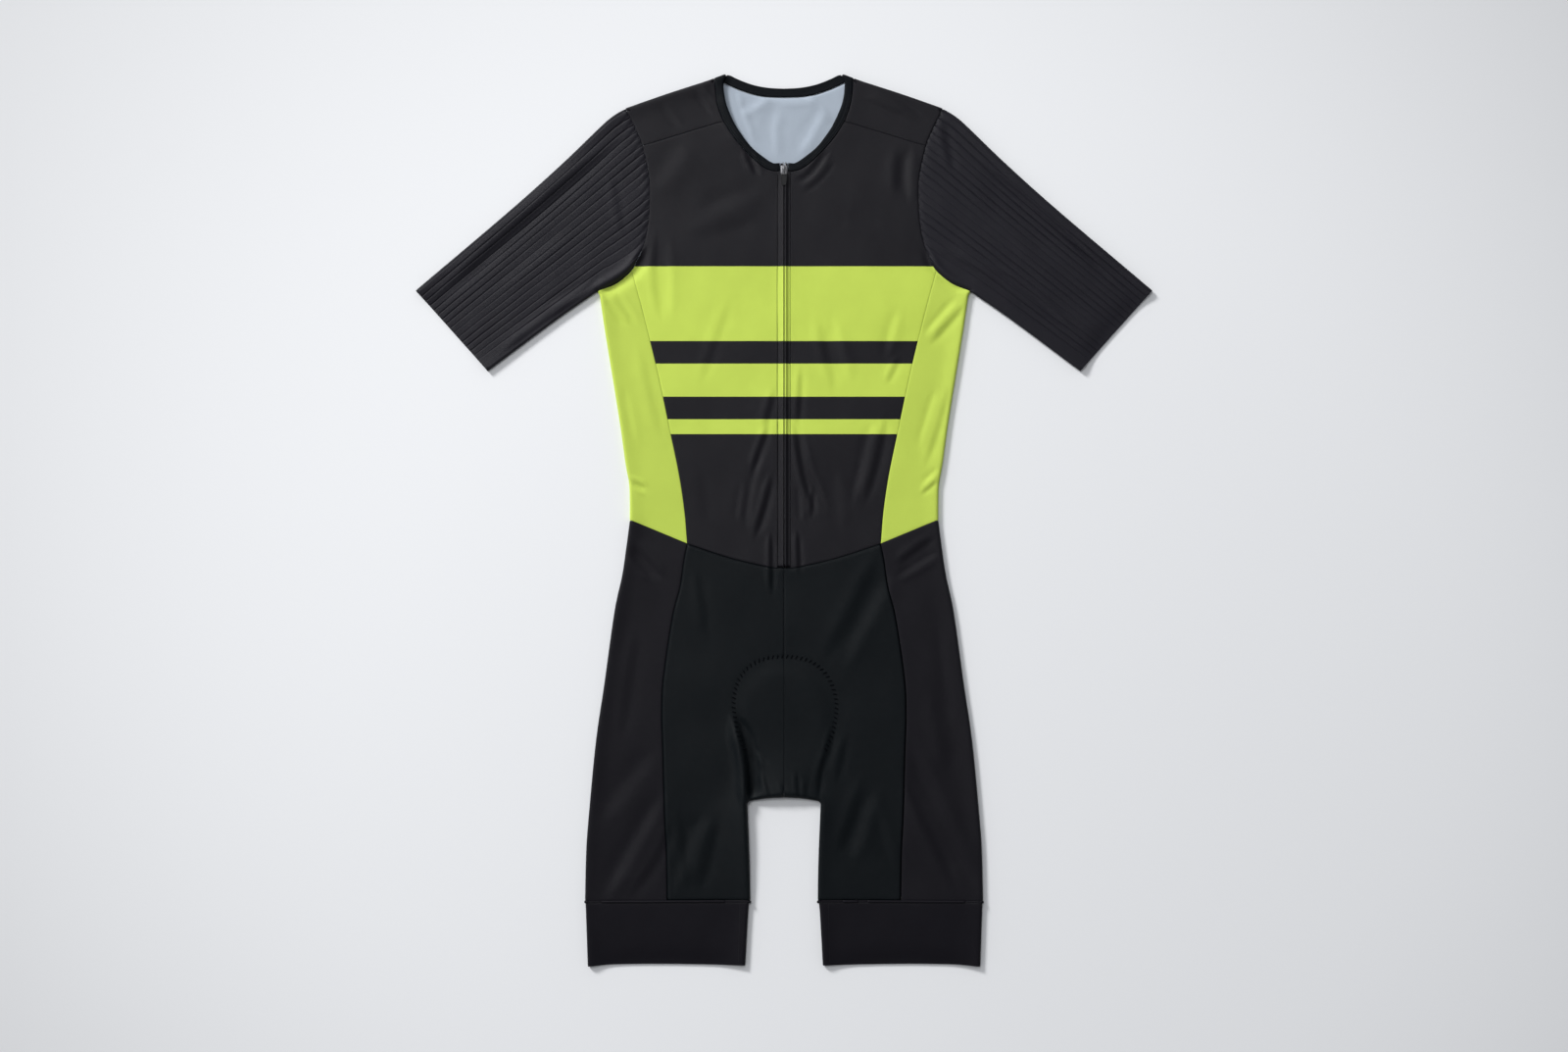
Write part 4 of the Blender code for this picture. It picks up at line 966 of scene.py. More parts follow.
def back_piece(finishes):
    """The back with its parts over both shoulders."""
    grids = []
    for side in (1, -1):
        edge = EDGES["shoulder"]
        line = turn_line(edge, side)[0]
        left = binding_seam_upper(side, YOKE_ROWS)[::-1]
        right = armhole_part(side, 0.0, YOKE_RIB, YOKE_ROWS)
        yoke = patch(line, evenly(YOKE_SEAM, len(line) - 1), left, right)
        front = raised(lipped(yoke, "blr"), side)
        fold = turn(edge, side).transpose(1, 0, 2)[::-1]
        top = np.vstack([evenly(BACK_NECK_SEAM, BACK_NECK_COLUMNS)[::-1], line])
        right = np.vstack([armhole_part(side, 0.0, UNDERARM_RIB, BACK_ARMHOLE_ROWS),
                           side_back_seam(side)[1::2]])
        bottom = evenly(BACK_WAIST, len(top) - 1)
        left = evenly([(0.0, BACK_NECK_Y), BACK_WAIST[0]], len(right) - 1)
        plan = patch(top, bottom, left, right)
        flat = laid(plan)
        flat[..., 2] = back_height(plan * (side, 1.0))
        flat[0, :, 2] = WALL / 2
        halves = [front, lipped(fold, "lr"), lipped(flat[:, ::-1], "bl")]
        if side < 0:
            halves = [half[:, ::-1] * (-1, 1, 1) for half in halves]
        grids += halves
    cloth("back_torso", "back_knit", grids, 1, finishes, (0.37, 0.56))


def neck_band(finishes):
    """Neck binding from the zip round the back neck to the zip again."""
    halves = []
    steps = np.linspace(0, 1, BINDING_ACROSS + 1)
    for side in (1, -1):
        fold = turn(EDGES["neck fold"], side, BINDING_WALL)[::-1].transpose(1, 0, 2)
        start, end = fold[0], fold[-1]
        seam, free = (
            chained([[lower[0], (ZIP_HALF, y)], [(ZIP_HALF, y)] + lower[1:], upper + [start[corner, :2]]],
                    BINDING_ROWS)
            for lower, upper, y, corner in ((BINDING_SEAM, BINDING_SEAM_UPPER, NECK_FOOT, 0),
                                            (BINDING_FREE, BINDING_FREE_UPPER, ZIP_TOP, -1)))
        front = raised(np.stack([seam + (free - seam) * step for step in steps], axis=1), side)
        front[-1] = start
        seam = np.vstack([end[0, :2], evenly(BACK_NECK_SEAM, BINDING_BACK_ROWS)])
        free = evenly([end[-1, :2]] + BACK_NECK_FREE, BINDING_BACK_ROWS + 1)
        back = laid(np.stack([seam + (free - seam) * step for step in steps], axis=1), BINDING_WALL)
        half = np.concatenate([front[:-1], fold, back[1:]], axis=0)
        halves.append(half * np.array([side, 1.0, 1.0]))
    grid = lipped(np.concatenate([halves[0], halves[1][-2::-1]], axis=0), "lrtb")
    cloth("neck_binding", "black_binding", [grid], 1, finishes, cut_of(grid),
          wall=BINDING_WALL, lip=1.3, sink=0.35)


def zip_flap(side, hand, finishes):
    """Printed flap beside the zip: straight up to the slider, where its inner edge makes room for it."""
    inner = 0.35 if side < 0 else 0.75
    rows = [(y, inner, ZIP_HALF) for y in np.linspace(ZIP_FOOT, 396.0, 150)]
    rows += [(401.0, 0.2, ZIP_HALF), (401.5, 0.6, 4.2), (405.0, 1.25, 4.2), (410.6, 1.25, 4.2)]
    across = np.array([0.0, 0.02, 0.05, 0.1, 0.18, 0.28, 0.4, 0.55, 0.7, 0.82, 0.92, 0.98, 1.0])
    table = np.array(rows)
    x = table[:, 1:2] + (table[:, 2:3] - table[:, 1:2]) * across
    y = np.repeat(table[:, :1], len(across), axis=1)
    below = ease((398.0 - y) / 4.0)
    if side < 0:
        rise = 1.0 - 1.7 * (x - inner) / (ZIP_HALF - inner)
    else:
        rise = 0.9 * np.exp(-((x - 1.9) / 0.9)**2) + 0.5 - 1.5 * ease((x - 1.6) / 3.6)
    grid = np.stack([x, y, BASE + rise * below], axis=-1)
    piece = shell("zip_flap_" + hand, [grid], side, finishes, wall=0.8, sink=0.1)
    dress(piece, "zip_tape_" + hand)


def rib_profile(marks):
    """Flat ribs parted by thin grooves."""
    place = marks - np.floor(marks)
    groove = np.minimum(place, 1 - place) * RIB_PITCH
    return RIB_CROWN * np.sin(math.pi * place) - RIB_GROOVE * np.exp(-(groove / RIB_GROOVE_WIDTH)**2)


def rib_strength(plan, mark, side):
    """Ribs come and go along the sleeve, and leave a plain band beside the underarm."""
    along_x, y = side * plan[..., 0], plan[..., 1]
    drift = 0.62 + 0.22 * np.sin(along_x / 31.0 + 1.1 * mark) + 0.2 * np.sin(y / 23.0 - 0.7 * mark + 1.0)
    upper = 0.35 * np.exp(-((mark - 3.0) / 3.0)**2)
    return np.clip(drift + upper, 0.15, 1.3) * ease((PLAIN_RIB - mark) / 1.2)


def sleeve_plan(upper_line, below, top, cuff, across):
    """Plan grid whose ribs run straight, except beside the two folded edges."""
    down = (shares_of(upper_line) + shares_of(below)) / 2
    v = down[:, None, None]
    u = across[None, :, None]
    straight = (1 - v) * top[None] + v * cuff[None]
    left = upper_line[:, None] - straight[:, :1]
    right = below[:, None] - straight[:, -1:]
    return straight + left * (1 - u)**3 + right * u**7


def sleeve_grids(side):
    """Sleeve: one flattened tube. Below the armhole the underarm seam parts its front from its back."""
    upper, lower = EDGES["sleeve upper"], EDGES["sleeve lower"]
    upper_line = turn_line(upper, side)[0]
    lower_line = turn_line(lower, side)[0]
    underarm = armhole_part(side, UNDERARM_RIB, ARMPIT_MARK, UNDERARM_ROWS)
    below = np.vstack([underarm, lower_line[1:]])

    def layer(places):
        """Plan points of one layer, and the rib mark of each."""
        marks = np.array([rib + place for rib in range(RIBS) for place in places] + [float(RIBS)])
        across = marks / RIBS
        cuff = upper_line[-1] + across[:, None] * (lower_line[-1] - upper_line[-1])
        plan = sleeve_plan(upper_line, below, armhole_at(side, marks), cuff, across)
        rows = np.repeat(marks[None, :, None], len(plan), axis=0)
        plan = lipped(np.concatenate([plan, rows], axis=2), "tb")
        return plan[..., :2], plan[..., 2]

    plan, mark = layer(RIB_PLACES)
    from_top = np.linalg.norm(plan - plan[0], axis=2)
    to_cuff = np.linalg.norm(plan - plan[-1], axis=2)
    gather = np.exp(-(from_top / GATHER_REACH)**2) * ease((PLAIN_RIB + 0.4 - mark) / 1.2)
    ribs = rib_profile(mark) * (rib_strength(plan, mark, side) * (1 - 0.6 * np.exp(-(to_cuff / 1.5)**2)))
    ribs += rib_profile(mark + 0.3 * gather) * 3.0 * gather
    front = np.concatenate([raised(plan, side), ribs[..., None]], axis=2)

    plan, mark = layer(BACK_RIB_PLACES)
    under = 0.45 * rib_profile(mark) - 0.2
    back = np.concatenate([laid(plan), under[..., None]], axis=2)[:, ::-1]
    return front, back, lipped(turn(upper, side)[:, ::-1], "tb"), lipped(turn(lower, side), "tb")


def sleeve(side, hand, finishes):
    grids = sleeve_grids(side)
    front = grids[0]
    cuff_middle = (np.array(CUFF_UPPER) + np.array(CUFF_LOWER)) / 2
    axis = unit(np.array([CUFF_UPPER[1] - CUFF_LOWER[1], -(CUFF_UPPER[0] - CUFF_LOWER[0])]))
    width = 2 * cut_of(front)[0] + sum(cut_of(fold)[0] for fold in grids[2:])
    cloth("sleeve_" + hand, "ribbed_knit", [grid[:, ::-1] for grid in grids], side, finishes,
          (width, cut_of(front)[1]), sink=0.9, reach=2.6,
          loose=lambda points: (points[:, :2] - cuff_middle) @ axis > -12.0)


def lowest_at(xy):
    """The front layer's lowest height close to true plan points of either half."""
    found = []
    for step in ((0, 0), (PAD_REACH, 0), (-PAD_REACH, 0), (0, PAD_REACH), (0, -PAD_REACH)):
        near = xy + step
        half = np.abs(near) * (1, 0) + near * (0, 1)
        found.append(np.where(near[:, 0] < 0, front_height(half, -1), front_height(half, 1)))
    return np.min(found, axis=0)


def seat_pad(finish):
    """Seat pad: a thin cushion, flat below, with sewn channels above."""
    right = evenly(PAD_OUTLINE, PAD_ROWS)
    rim = np.vstack([right, right[-2:0:-1] * (-1, 1)])
    centre = np.array(PAD_MIDDLE)
    rings = [laid(centre + (rim - centre) * scale, 2 * (PAD_FLOOR + rise))
             for scale, rise in ((0.1, 0), (0.5, 0), (0.97, 0), (1.0, 0.3))]
    for scale in np.linspace(0.985, 0.02, PAD_RINGS):
        xy = centre + (rim - centre) * scale
        top = np.maximum(lowest_at(xy) - WALL / 2 - PAD_CLEAR, PAD_FLOOR + 0.4)
        channel = 0.5 * np.exp(-((scale - 0.72) * 60 / 2.5)**2)
        rings.append(np.concatenate([xy, np.maximum(top - channel, PAD_FLOOR + 0.35)[:, None]], axis=1))
    verts, faces = lofted(rings)
    piece = mesh_piece("seat_pad_cloth", verts * MM, faces, [finish])
    dress(piece, "seat_pad")


# Solids through rings of points

def ring_quads(rings, count, closed=False):
    """Faces between rings of points, and from the last ring to the first one if closed."""
    low = count * np.arange(rings if closed else rings - 1)[:, None]
    high = (low + count) % (count * rings)
    i = np.arange(count)
    k = (i + 1) % count
    return np.stack([low + i, low + k, high + k, high + i], axis=-1).reshape(-1, 4)


def lofted(rings):
    """Points and faces of a solid through rings of equal count, capped at both ends."""
    count = len(rings[0])
    last = (len(rings) - 1) * count
    faces = [list(range(count))[::-1], *ring_quads(len(rings), count).tolist(),
             list(range(last, last + count))]
    return np.concatenate(rings), faces


def circle(run, tilt, sides):
    """Points of a unit circle across a direction."""
    across = unit(np.cross(run, tilt))
    angle = np.linspace(0, 2 * math.pi, sides, endpoint=False)[:, None]
    return across * np.cos(angle) + np.cross(across, run) * np.sin(angle)


def joined(name, solids, finish, body="garment", node=None, sharp=True):
    """One piece from several solids, each its points in millimetres and its faces."""
    faces, start = [], 0
    for points, rows in solids:
        faces += [[start + index for index in row] for row in rows]
        start += len(points)
    piece = mesh_piece(name, np.concatenate([points for points, _ in solids]) * MM, faces, [finish])
    if sharp:
        piece.data.set_sharp_from_angle(angle=math.radians(42))
    dress(piece, node, body)


# Stitches

def stitch_row(name, lines, finish, pitch, length, radius):
    """Short threads laid along lines of true 3D points in millimetres, joined in one mesh."""
    solids = []
    for line in lines:
        total = run_of(line)[-1]
        count = max(int(total / pitch), 1)
        places = (np.arange(count) + 0.5) / count
        ahead = along(line, np.minimum(places + 0.4 * pitch / total, 1))
        for middle, point in zip(along(line, places), ahead):
            run = unit(point - middle)
            around = circle(run, (0, 0, 1), STITCH_SIDES)
            points, rows = lofted([middle + run * (place * length) + around * (radius * size)
                                   for place, size in STITCH_FORM])
            solids.append((points, [row[:1] + row[:0:-1] for row in rows]))
    joined(name, solids, finish, sharp=False)


def on_front(plan, side, lift=0.0):
    """True 3D points on the front layer's outside over a line of the right half's plan."""
    points = raised(plan, side)
    points[:, 2] += WALL / 2 + lift
    return points * (side, 1, 1)


def offset(line, distance_left):
    return line + normals_of(line) * distance_left


def stitches(finish):
    """Threads beside the zip, on the neck binding, and beside the other seams."""
    rows = [on_front(evenly([(x, 396.0), (x, -50.0)], 300), side, lift)
            for side, x, lift in ((1, ZIP_HALF - 0.9, -0.7), (-1, ZIP_HALF + 0.9, 0.0))]
    stitch_row("zip_stitches", rows, finish, pitch=2.0, length=1.3, radius=0.17)

    rows = []
    seam = smooth([(BINDING_END, NECK_FOOT)] + BINDING_SEAM[1:] + BINDING_SEAM_UPPER[1:])
    for side in (1, -1):
        for away in (1.5, 4.2):
            points = raised(offset(seam, away), side)
            points[:, 2] += BINDING_WALL / 2 + 0.02
            rows.append(points * (side, 1, 1))
    stitch_row("binding_stitches", rows, finish, pitch=2.6, length=1.9, radius=0.18)

    rows = []
    for side in (1, -1):
        plans = [evenly([(x, GRIPPER_Y - away) for x in (42.0, 100.0, 170.0, 226.5)], 200)
                 for away in (1.3, 2.7)]
        plans += [evenly([(51.0, GRIPPER_Y - 3.0), (52.5, -508.0)], 60),
                  offset(smooth(WAIST_SEAM[:4]), -1.6)[4:-2], offset(smooth(YOKE_SEAM), 1.4)[2:-2]]
        rows += [on_front(plan, side) for plan in plans]
    stitch_row("seam_stitches", rows, finish, pitch=2.8, length=2.0, radius=0.13)


def pad_stitches(finish):
    """Short strokes side by side across the seat pad's outline."""
    line = along(smooth(PAD_GROOVE.line), np.linspace(0, 1, 54))
    outward = -normals_of(line)
    strokes = []
    for number, (middle, out) in enumerate(zip(line, outward)):
        reach = 1.9 + 0.4 * math.sin(2.3 * number)
        slant = np.array([out[1], -out[0]]) * 0.7
        ends = np.array([middle - out * reach - slant, middle + out * reach + slant])
        half = np.abs(ends) * (1, 0) + ends * (0, 1)
        side = 1 if middle[0] > 0 else -1
        points = raised(half, side)
        height = points[:, 2].max() * np.ones(2) + WALL / 2
        strokes.append(np.stack([ends[:, 0], ends[:, 1], height], axis=1))
    stitch_row("pad_stitches", strokes, finish, pitch=3.8, length=5.0, radius=0.68)


def seam_roll(side, hand, finish):
    """Rolled seam round the leg where the band joins it, standing a little proud of both folds."""
    outer, inner = edge_point("gripper outer", 0), edge_point("gripper inner", 0)
    corners = [fold_end("gripper inner", side, 0), fold_end("gripper outer", side, 0)]
    front = raised(evenly(corners, 90), side)
    back = laid(evenly(corners[::-1], 30))
    loop = np.concatenate([front, turn(outer, side)[0, 1:-1], back, turn(inner, side)[0, ::-1][1:-1]])
    loop[:, 1] -= SEAM_ROLL_DROP
    ahead = unit_rows(np.roll(loop, -1, axis=0) - np.roll(loop, 1, axis=0))
    out = unit_rows(np.cross(ahead, (0.0, 1.0, 0.0)))
    middle = np.array([loop[:, 0].mean(), loop[0, 1], 2.6])
    out *= np.sign(((loop - middle) * out).sum(axis=1))[:, None]
    angle = np.linspace(0, 2 * math.pi, 10, endpoint=False)
    rings = []
    for point, normal in zip(loop, out):
        size = SEAM_ROLL_BELOW if point[2] < WALL else 1.0
        ring = point + normal * (np.sin(angle) * SEAM_ROLL_HEIGHT * size + SEAM_ROLL_PROUD * size)[:, None]
        ring[:, 1] += np.cos(angle) * SEAM_ROLL_WIDTH
        rings.append(ring)
    verts = np.concatenate(rings)
    verts[:, 2] = np.maximum(verts[:, 2], 0.0)
    faces = ring_quads(len(rings), len(angle), closed=True)[:, ::side].tolist()
    piece = mesh_piece("leg_seam_roll_" + hand, verts * (side * MM, MM, MM), faces, [finish])
    dress(piece, None)


# Slider and pull

def rounded(half_widths, steps=8):
    """Closed plan outline from (half width, y) rows that run down the right side."""
    right = smooth(half_widths, steps)
    whole = np.vstack([right, right[::-1] * (-1, 1)])
    keep = np.linalg.norm(whole - np.roll(whole, 1, axis=0), axis=1) > 0.02
    return whole[keep][::-1]


def slab(outline_points, low, high, bevel, dish=0.0):
    """Solid over an outline with rounded upper and lower edges, and a dished top if wanted."""
    centre = outline_points.mean(axis=0)
    reach = np.abs(outline_points - centre).max(axis=0)

    def ring(inward, z):
        points = centre + (outline_points - centre) * (1 - inward / reach)
        return np.concatenate([points, np.full((len(points), 1), z)], axis=1)

    turns = [(1 - math.sin(a), 1 - math.cos(a)) for a in (0.0, 0.5, 1.0, math.pi / 2)]
    rings = [ring(bevel * far, low + bevel * near) for far, near in turns]
    rings += [ring(bevel * near, high - bevel * far) for far, near in turns]
    if dish:
        rings += [ring(bevel + 0.45, high), ring(bevel + 0.7, high - dish), ring(bevel + 1.2, high - dish)]
    return lofted(rings)


def tube(path, radius, sides=10):
    """Round bar along a path of points."""
    path = np.array(path, float)
    rings = []
    for number, point in enumerate(path):
        run = unit(path[min(number + 1, len(path) - 1)] - path[max(number - 1, 0)])
        rings.append(point + circle(run, (0.13, 0.21, 0.97), sides) * radius)
    return lofted(rings)


def zip_hardware(metal_finish, plastic_finish, hole_shade_finish):
    """Slider, a dark slab on its top as painted shade for the opening under its bridge, and the pull's link
    and grip.
    """
    upper = rounded([(0.0, 408.4), (2.2, 408.2), (3.8, 407.0), (4.0, 404.5), (3.8, 400.6), (3.3, 398.2),
                     (0.0, 397.6)])
    arch = [(0.0, 407.2 - 8.0 * share, 4.7 + 2.0 * math.sin(math.pi * share)**0.6)
            for share in np.linspace(0.03, 0.97, 17)]
    frame_ring = [(1.9 * math.cos(a), 404.0 + 2.1 * math.sin(a), 4.85)
                  for a in np.linspace(0, 2 * math.pi, 25)]
    solids = [slab(upper, 3.75, 4.85, 0.4), slab(upper, 1.35, 2.45, 0.4), tube(arch, 0.72),
              tube(frame_ring, 0.45),
              slab(rounded([(0.0, 408.0), (1.4, 407.6), (1.3, 404.5), (0.0, 404.2)], 4), 2.0, 4.2, 0.2)]
    joined("slider_body", solids, metal_finish, node="zip_slider")
    # Dark slab on the slider's top inside the frame ring: painted shade where the opening under the bridge
    # is
    hole = slab(rounded([(0.0, 405.4), (1.15, 404.9), (1.35, 403.7), (0.9, 402.6), (0.0, 402.3)], 4),
                4.6, 4.92, 0.08)
    joined("slider_hole_painted_shade", [hole], hole_shade_finish)

    link = [(-2.3, 397.1, 5.35), (-2.3, 401.2, 5.45), (-1.7, 402.0, 5.45), (1.7, 402.0, 5.45),
            (2.3, 401.2, 5.45), (2.3, 397.1, 5.35)]
    joined("pull_link", [tube(smooth(link, 5), 0.5)], metal_finish, "pull_tab",
           "zip_pull_link")
    grip = rounded([(0.0, 398.0), (2.6, 397.8), (3.7, 396.6), (3.7, 394.0), (3.2, 389.0), (2.7, 385.9),
                    (1.7, 384.9), (0.0, 384.7)])
    joined("pull_grip", [slab(grip, 4.45, 6.1, 0.5, 0.3)], plastic_finish, "pull_tab",
           "zip_pull_grip")


def zip_chain(finish, stop_finish):
    """Coil teeth in the gap between the flaps, and the open chain's ends over the slider."""
    teeth = []
    for number in range(TEETH):
        y = 395.5 - TOOTH_PITCH * number
        x = 0.2 + (0.55 if number % 2 else -0.55)
        teeth.append(tube([(x - 1.3, y, 2.25), (x + 1.3, y + 0.25, 2.25)], 0.42, 6))
    joined("zip_coil", teeth, finish)
    ends = []
    for side in (-1, 1):
        path = [(0.6 + side * x, y, z)
                for x, y, z in ((1.9, 411.8, 3.6), (0.9, 410.6, 3.9), (1.5, 409.6, 3.9), (0.6, 408.4, 3.8))]
        ends.append(tube(smooth(path, 5), 0.45))
    joined("chain_ends", ends, stop_finish)


# Finishes

class Finish:
    """A Principled material whose nodes are added one by one."""

    def __init__(self, name, colour, roughness, specular=0.3, sheen=0.0, metallic=0.0):
        self.material = bpy.data.materials.new(name)
        self.material.use_nodes = True
        self.tree = self.material.node_tree
        self.shader = self.tree.nodes["Principled BSDF"]
        self.shader.inputs["Base Color"].default_value = (*colour, 1.0)
        self.shader.inputs["Roughness"].default_value = roughness
        self.shader.inputs["Specular IOR Level"].default_value = specular
        self.shader.inputs["Sheen Weight"].default_value = sheen
        self.shader.inputs["Sheen Roughness"].default_value = 0.45
        self.shader.inputs["Metallic"].default_value = metallic
        self.place = self.add("ShaderNodeTexCoord").outputs["Object"]

    def add(self, kind, **settings):
        node = self.tree.nodes.new(kind)
        for key, value in settings.items():
            setattr(node, key, value)
        return node

    def link(self, start, end):
        self.tree.links.new(start, end)

    def math(self, operation, *values):
        node = self.add("ShaderNodeMath", operation=operation)
        for socket, value in zip(node.inputs, values):
            if isinstance(value, (int, float)):
                socket.default_value = value
            else:
                self.link(value, socket)
        return node.outputs[0]

    def noise(self, size, detail):
        node = self.add("ShaderNodeTexNoise")
        node.inputs["Scale"].default_value = 1 / (size * MM)
        node.inputs["Detail"].default_value = detail
        self.link(self.place, node.inputs["Vector"])
        return node.outputs[0]

    def wave(self, size, axis, bend):
        node = self.add("ShaderNodeTexWave", wave_type="BANDS", bands_direction=axis)
        node.inputs["Scale"].default_value = 2 * math.pi / (20 * size * MM)
        node.inputs["Distortion"].default_value = bend
        node.inputs["Detail"].default_value = 1.0
        self.link(self.place, node.inputs["Vector"])
        return node.outputs["Fac"]

    def shade(self, colour_socket, value, low, high):
        """Multiplies a colour by a range that follows a value from 0 to 1."""
        ranged = self.add("ShaderNodeMapRange")
        self.link(value, ranged.inputs["Value"])
        ranged.inputs["To Min"].default_value = low
        ranged.inputs["To Max"].default_value = high
        scaled = self.add("ShaderNodeVectorMath", operation="SCALE")
        self.link(colour_socket, scaled.inputs[0])
        self.link(ranged.outputs["Result"], scaled.inputs["Scale"])
        return scaled.outputs["Vector"]

    def mix(self, factor, first, second):
        node = self.add("ShaderNodeMix", data_type="RGBA")
        self.link(factor, node.inputs["Factor"])
        for name, value in (("A", first), ("B", second)):
            self.link(value, next(s for s in node.inputs if s.name == name and s.type == "RGBA"))
        return next(s for s in node.outputs if s.type == "RGBA")

    def plain(self, colour):
        """A colour socket that holds one colour."""
        node = self.add("ShaderNodeRGB")
        node.outputs[0].default_value = (*colour, 1.0)
        return node.outputs[0]

    def colour(self, socket):
        self.link(socket, self.shader.inputs["Base Color"])

    def bump(self, height, depth):
        node = self.add("ShaderNodeBump")
        node.inputs["Distance"].default_value = depth * MM
        self.link(height, node.inputs["Height"])
        self.link(node.outputs["Normal"], self.shader.inputs["Normal"])


def knit_finish(name, colour, roughness=0.5, specular=0.2, sheen=0.0, wale=0.9, depth=0.12, spread=0.10):
    """Fine stretch knit: wales and courses in the bump, faint unevenness in the colour."""
    finish = Finish(name, colour, roughness, specular, sheen)
    wales = finish.wave(wale, "X", 0.4)
    courses = finish.wave(wale * 0.8, "Y", 0.4)
    weave = finish.math("MULTIPLY", wales, courses)
    tone = finish.plain(colour)
    tone = finish.shade(tone, finish.noise(26.0, 4.0), 1 - spread, 1 + spread)
    tone = finish.shade(tone, weave, 0.88, 1.1)
    finish.colour(tone)
    grain = finish.noise(0.6, 2.0)
    finish.bump(finish.math("ADD", weave, finish.math("MULTIPLY", grain, 0.5)), depth)
    return finish


def printed_finish(name):
    """The front's knit with printed hoops."""
    finish = knit_finish(name, CHARCOAL)
    split = finish.add("ShaderNodeSeparateXYZ")
    finish.link(finish.place, split.inputs[0])
    height = split.outputs["Y"]
    inside = None
    for hoop in HOOPS:
        below = finish.math("LESS_THAN", height, hoop.top * MM)
        above = finish.math("GREATER_THAN", height, hoop.bottom * MM)
        band = finish.math("MULTIPLY", below, above)
        inside = band if inside is None else finish.math("ADD", inside, band)
    dark = finish.shader.inputs["Base Color"].links[0].from_socket
    lime = finish.shade(finish.plain(LIME), finish.noise(26.0, 4.0), 0.95, 1.05)
    finish.colour(finish.mix(inside, dark, lime))
    return finish


def grained(name, colour, roughness, specular, grain, depth, metallic=0.0):
    """A plain material with a fine grain."""
    finish = Finish(name, colour, roughness, specular, metallic=metallic)
    finish.bump(finish.noise(grain, 2.0), depth)
    return finish.material


# Light, floor and camera

def light(name, place, aim, size, power, colour):
    lamp = bpy.data.lights.new(name, "AREA")
    lamp.shape = "DISK"
    lamp.size = size
    lamp.energy = power
    lamp.color = colour
    obj = bpy.data.objects.new(name, lamp)
    obj.location = place
    obj.rotation_mode = "QUATERNION"
    obj.rotation_quaternion = (Vector(aim) - Vector(place)).to_track_quat("-Z", "Y")
    bpy.context.scene.collection.objects.link(obj)


def sky():
    """Soft surroundings: dim overhead, brighter towards the horizon and the upper left."""
    world = bpy.data.worlds.new("studio")
    world.use_nodes = True
    tree = world.node_tree
    back = tree.nodes["Background"]
    back.inputs["Color"].default_value = (0.955, 0.972, 1.0, 1.0)
    place = tree.nodes.new("ShaderNodeTexCoord").outputs["Generated"]
    lean = tree.nodes.new("ShaderNodeVectorMath")
    lean.operation = "DOT_PRODUCT"
    lean.inputs[1].default_value = (-0.18, 0.16, -0.70)
    tree.links.new(place, lean.inputs[0])
    ranged = tree.nodes.new("ShaderNodeMapRange")
    ranged.inputs["From Min"].default_value = -0.70
    ranged.inputs["From Max"].default_value = 0.0
    ranged.inputs["To Min"].default_value = SKY_ABOVE
    ranged.inputs["To Max"].default_value = SKY_BELOW
    tree.links.new(lean.outputs["Value"], ranged.inputs["Value"])
    tree.links.new(ranged.outputs["Result"], back.inputs["Strength"])
    bpy.context.scene.world = world


def studio():
    """Pale paper floor with painted light falloff, its colour darkening away from the garment, with its
    lights and surroundings.
    """
    finish = Finish("floor_paper_painted_falloff", FLOOR, 0.9, 0.1)
    # Painted light falloff: the floor's colour darkens with distance from a point beside the garment
    reach = finish.add("ShaderNodeVectorMath", operation="DISTANCE")
    finish.link(finish.place, reach.inputs[0])
    reach.inputs[1].default_value = (0.15, -0.2, 0.0)
    painted_falloff = finish.add("ShaderNodeMapRange", interpolation_type="SMOOTHSTEP")
    finish.link(reach.outputs["Value"], painted_falloff.inputs["Value"])
    painted_falloff.inputs["From Min"].default_value = 0.55
    painted_falloff.inputs["From Max"].default_value = 1.7
    finish.colour(finish.shade(finish.plain(FLOOR), painted_falloff.outputs["Result"], 1.0, 0.64))
    finish.bump(finish.noise(3.0, 4.0), 0.05)
    half = FLOOR_SIZE / 2 * MM
    verts = np.array([(x * half, y * half, FLOOR_Z * MM) for x, y in ((-1, -1), (1, -1), (1, 1), (-1, 1))])
    mesh_piece("floor", verts, [[0, 1, 2, 3]], [finish.material])
    sky()
    light("key", (-4.3, 4.55, 3.3), (0.0, 0.0, 0.0), 1.6, 480.0, (1.0, 0.995, 0.985))
    light("fill", (-0.6, 0.95, 3.0), (-0.2, 0.2, 0.0), 1.2, 24.0, (0.98, 0.99, 1.0))
    bpy.context.scene.view_settings.view_transform = "Standard"


def camera():
    data = bpy.data.cameras.new("camera")
    data.lens = LENS
    data.sensor_width = SENSOR
    obj = bpy.data.objects.new("camera", data)
    height = PICTURE_WIDTH / SENSOR * LENS
    obj.location = (0.0, PICTURE_CENTRE_Y * MM, height * MM)
    bpy.context.scene.collection.objects.link(obj)
    bpy.context.scene.camera = obj


EDGES = outline()
ROUGH_EDGES = [points[sorted({*range(0, len(points), 5), len(points) - 1})] for points, _ in EDGES.values()]

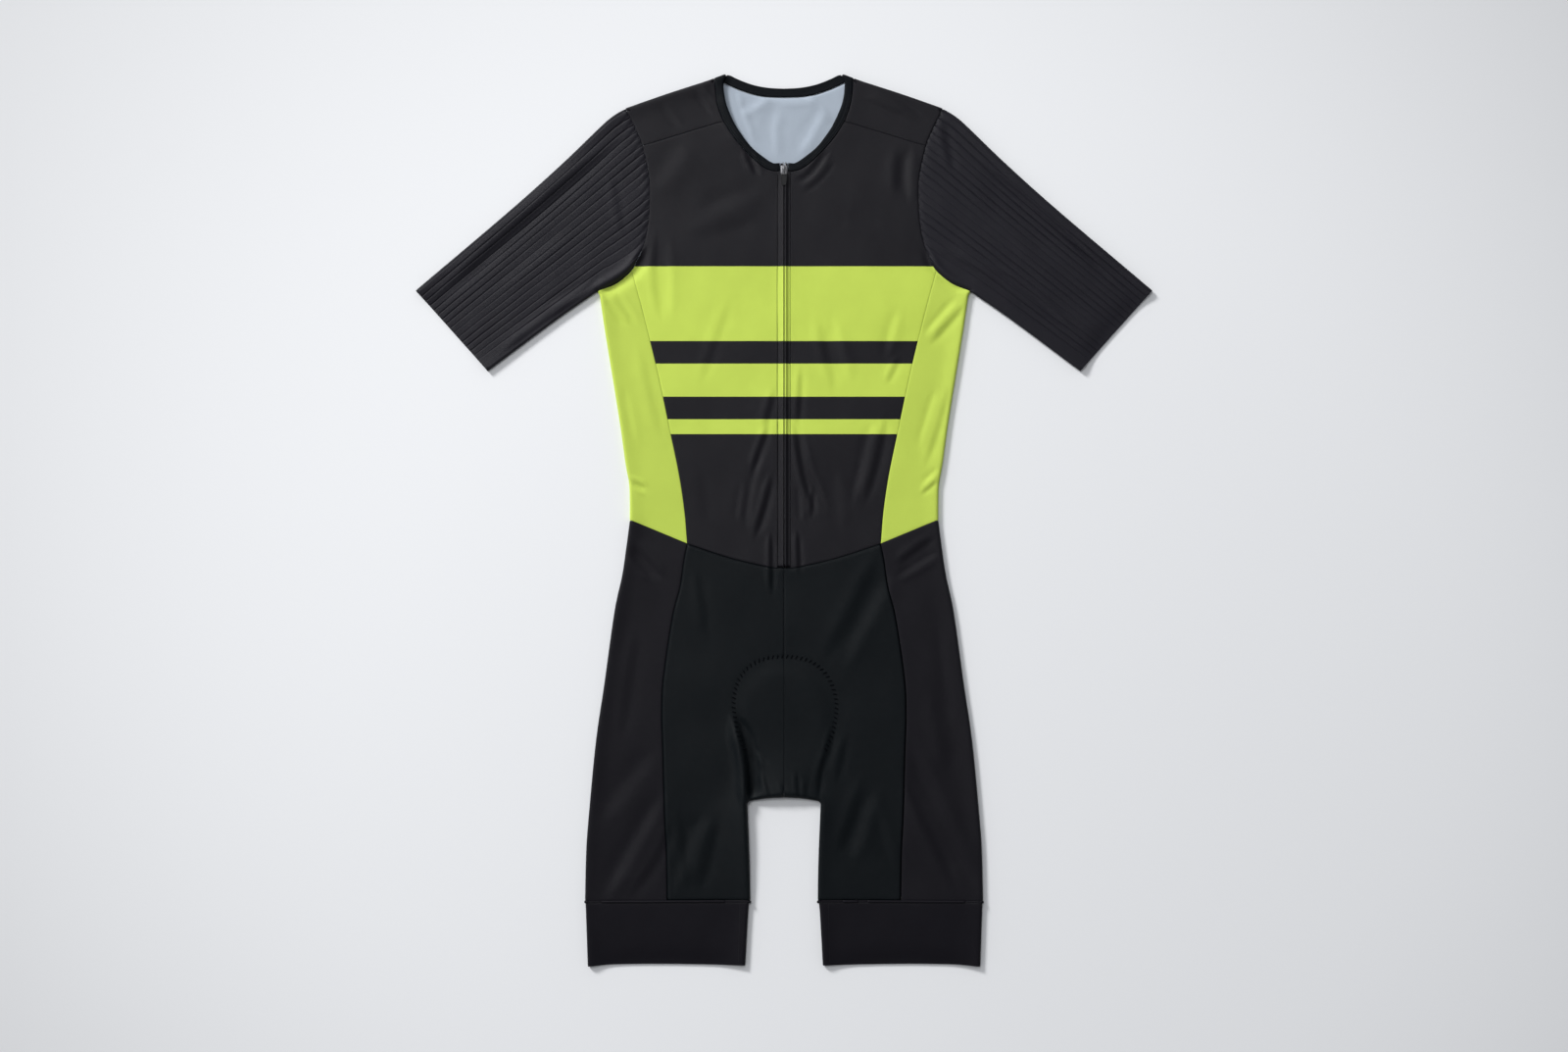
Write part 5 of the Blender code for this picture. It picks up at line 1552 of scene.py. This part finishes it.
charcoal = knit_finish("charcoal_knit", CHARCOAL).material
printed = printed_finish("printed_knit").material
# Copies of the charcoal knit with less specular for the leg panels and bands: painted shade, so the lower
# part of the garment looks darker
leg_cloth_shaded = knit_finish("leg_knit_shaded", CHARCOAL, specular=0.16).material
band_cloth_shaded = knit_finish("band_knit_shaded", CHARCOAL, specular=0.12).material
ribbed = knit_finish("ribbed_knit", RIBBED, wale=1.1, depth=0.15).material
lime = knit_finish("lime_knit", LIME, roughness=0.6, specular=0.25, spread=0.04).material
shorts = knit_finish("shorts_knit", SHORTS, roughness=0.48, specular=0.13, wale=0.7).material
inside = knit_finish("back_knit", BACK_INSIDE, roughness=0.8, specular=0.1, sheen=0.1, wale=1.2,
                     spread=0.05).material
binding = knit_finish("black_binding", BINDING, specular=0.1, wale=0.8).material
foam = knit_finish("pad_foam", CHARCOAL, roughness=0.8).material
thread = grained("thread", THREAD, 0.5, 0.3, 0.3, 0.05)
pad_thread = grained("pad_thread", (0.0015, 0.002, 0.003), 0.8, 0.03, 0.3, 0.05)
coil = grained("zip_coil", (0.006, 0.006, 0.007), 0.4, 0.35, 0.3, 0.03)
# Near-black colour of the slab on the slider's top: painted shade for the opening under its bridge
painted_hole_shade = grained("slider_hole_painted_shade", (0.004, 0.004, 0.005), 0.7, 0.1, 0.3, 0.02)
metal = grained("slider_metal", (0.2, 0.2, 0.21), 0.4, 0.5, 0.4, 0.01, metallic=0.8)
plastic = grained("grip_plastic", (0.006, 0.006, 0.007), 0.5, 0.25, 0.25, 0.03)

for hand_side, hand_name in ((1, "right"), (-1, "left")):
    front_panel(hand_side, hand_name, [printed, inside])
    side_panel(hand_side, hand_name, [lime, inside])
    sleeve(hand_side, hand_name, [ribbed])
    leg_front_panel(hand_side, hand_name, [shorts])
    leg_outer_panel(hand_side, hand_name, [leg_cloth_shaded])
    seat_panel(hand_side, hand_name, [charcoal])
    gripper_band(hand_side, hand_name, [band_cloth_shaded])
    zip_flap(hand_side, hand_name, [printed])
    seam_roll(hand_side, hand_name, band_cloth_shaded)
back_piece([charcoal, inside])
neck_band([binding])
seat_pad(foam)
stitches(thread)
pad_stitches(pad_thread)
zip_hardware(metal, plastic, painted_hole_shade)
zip_chain(coil, metal)

studio()
camera()
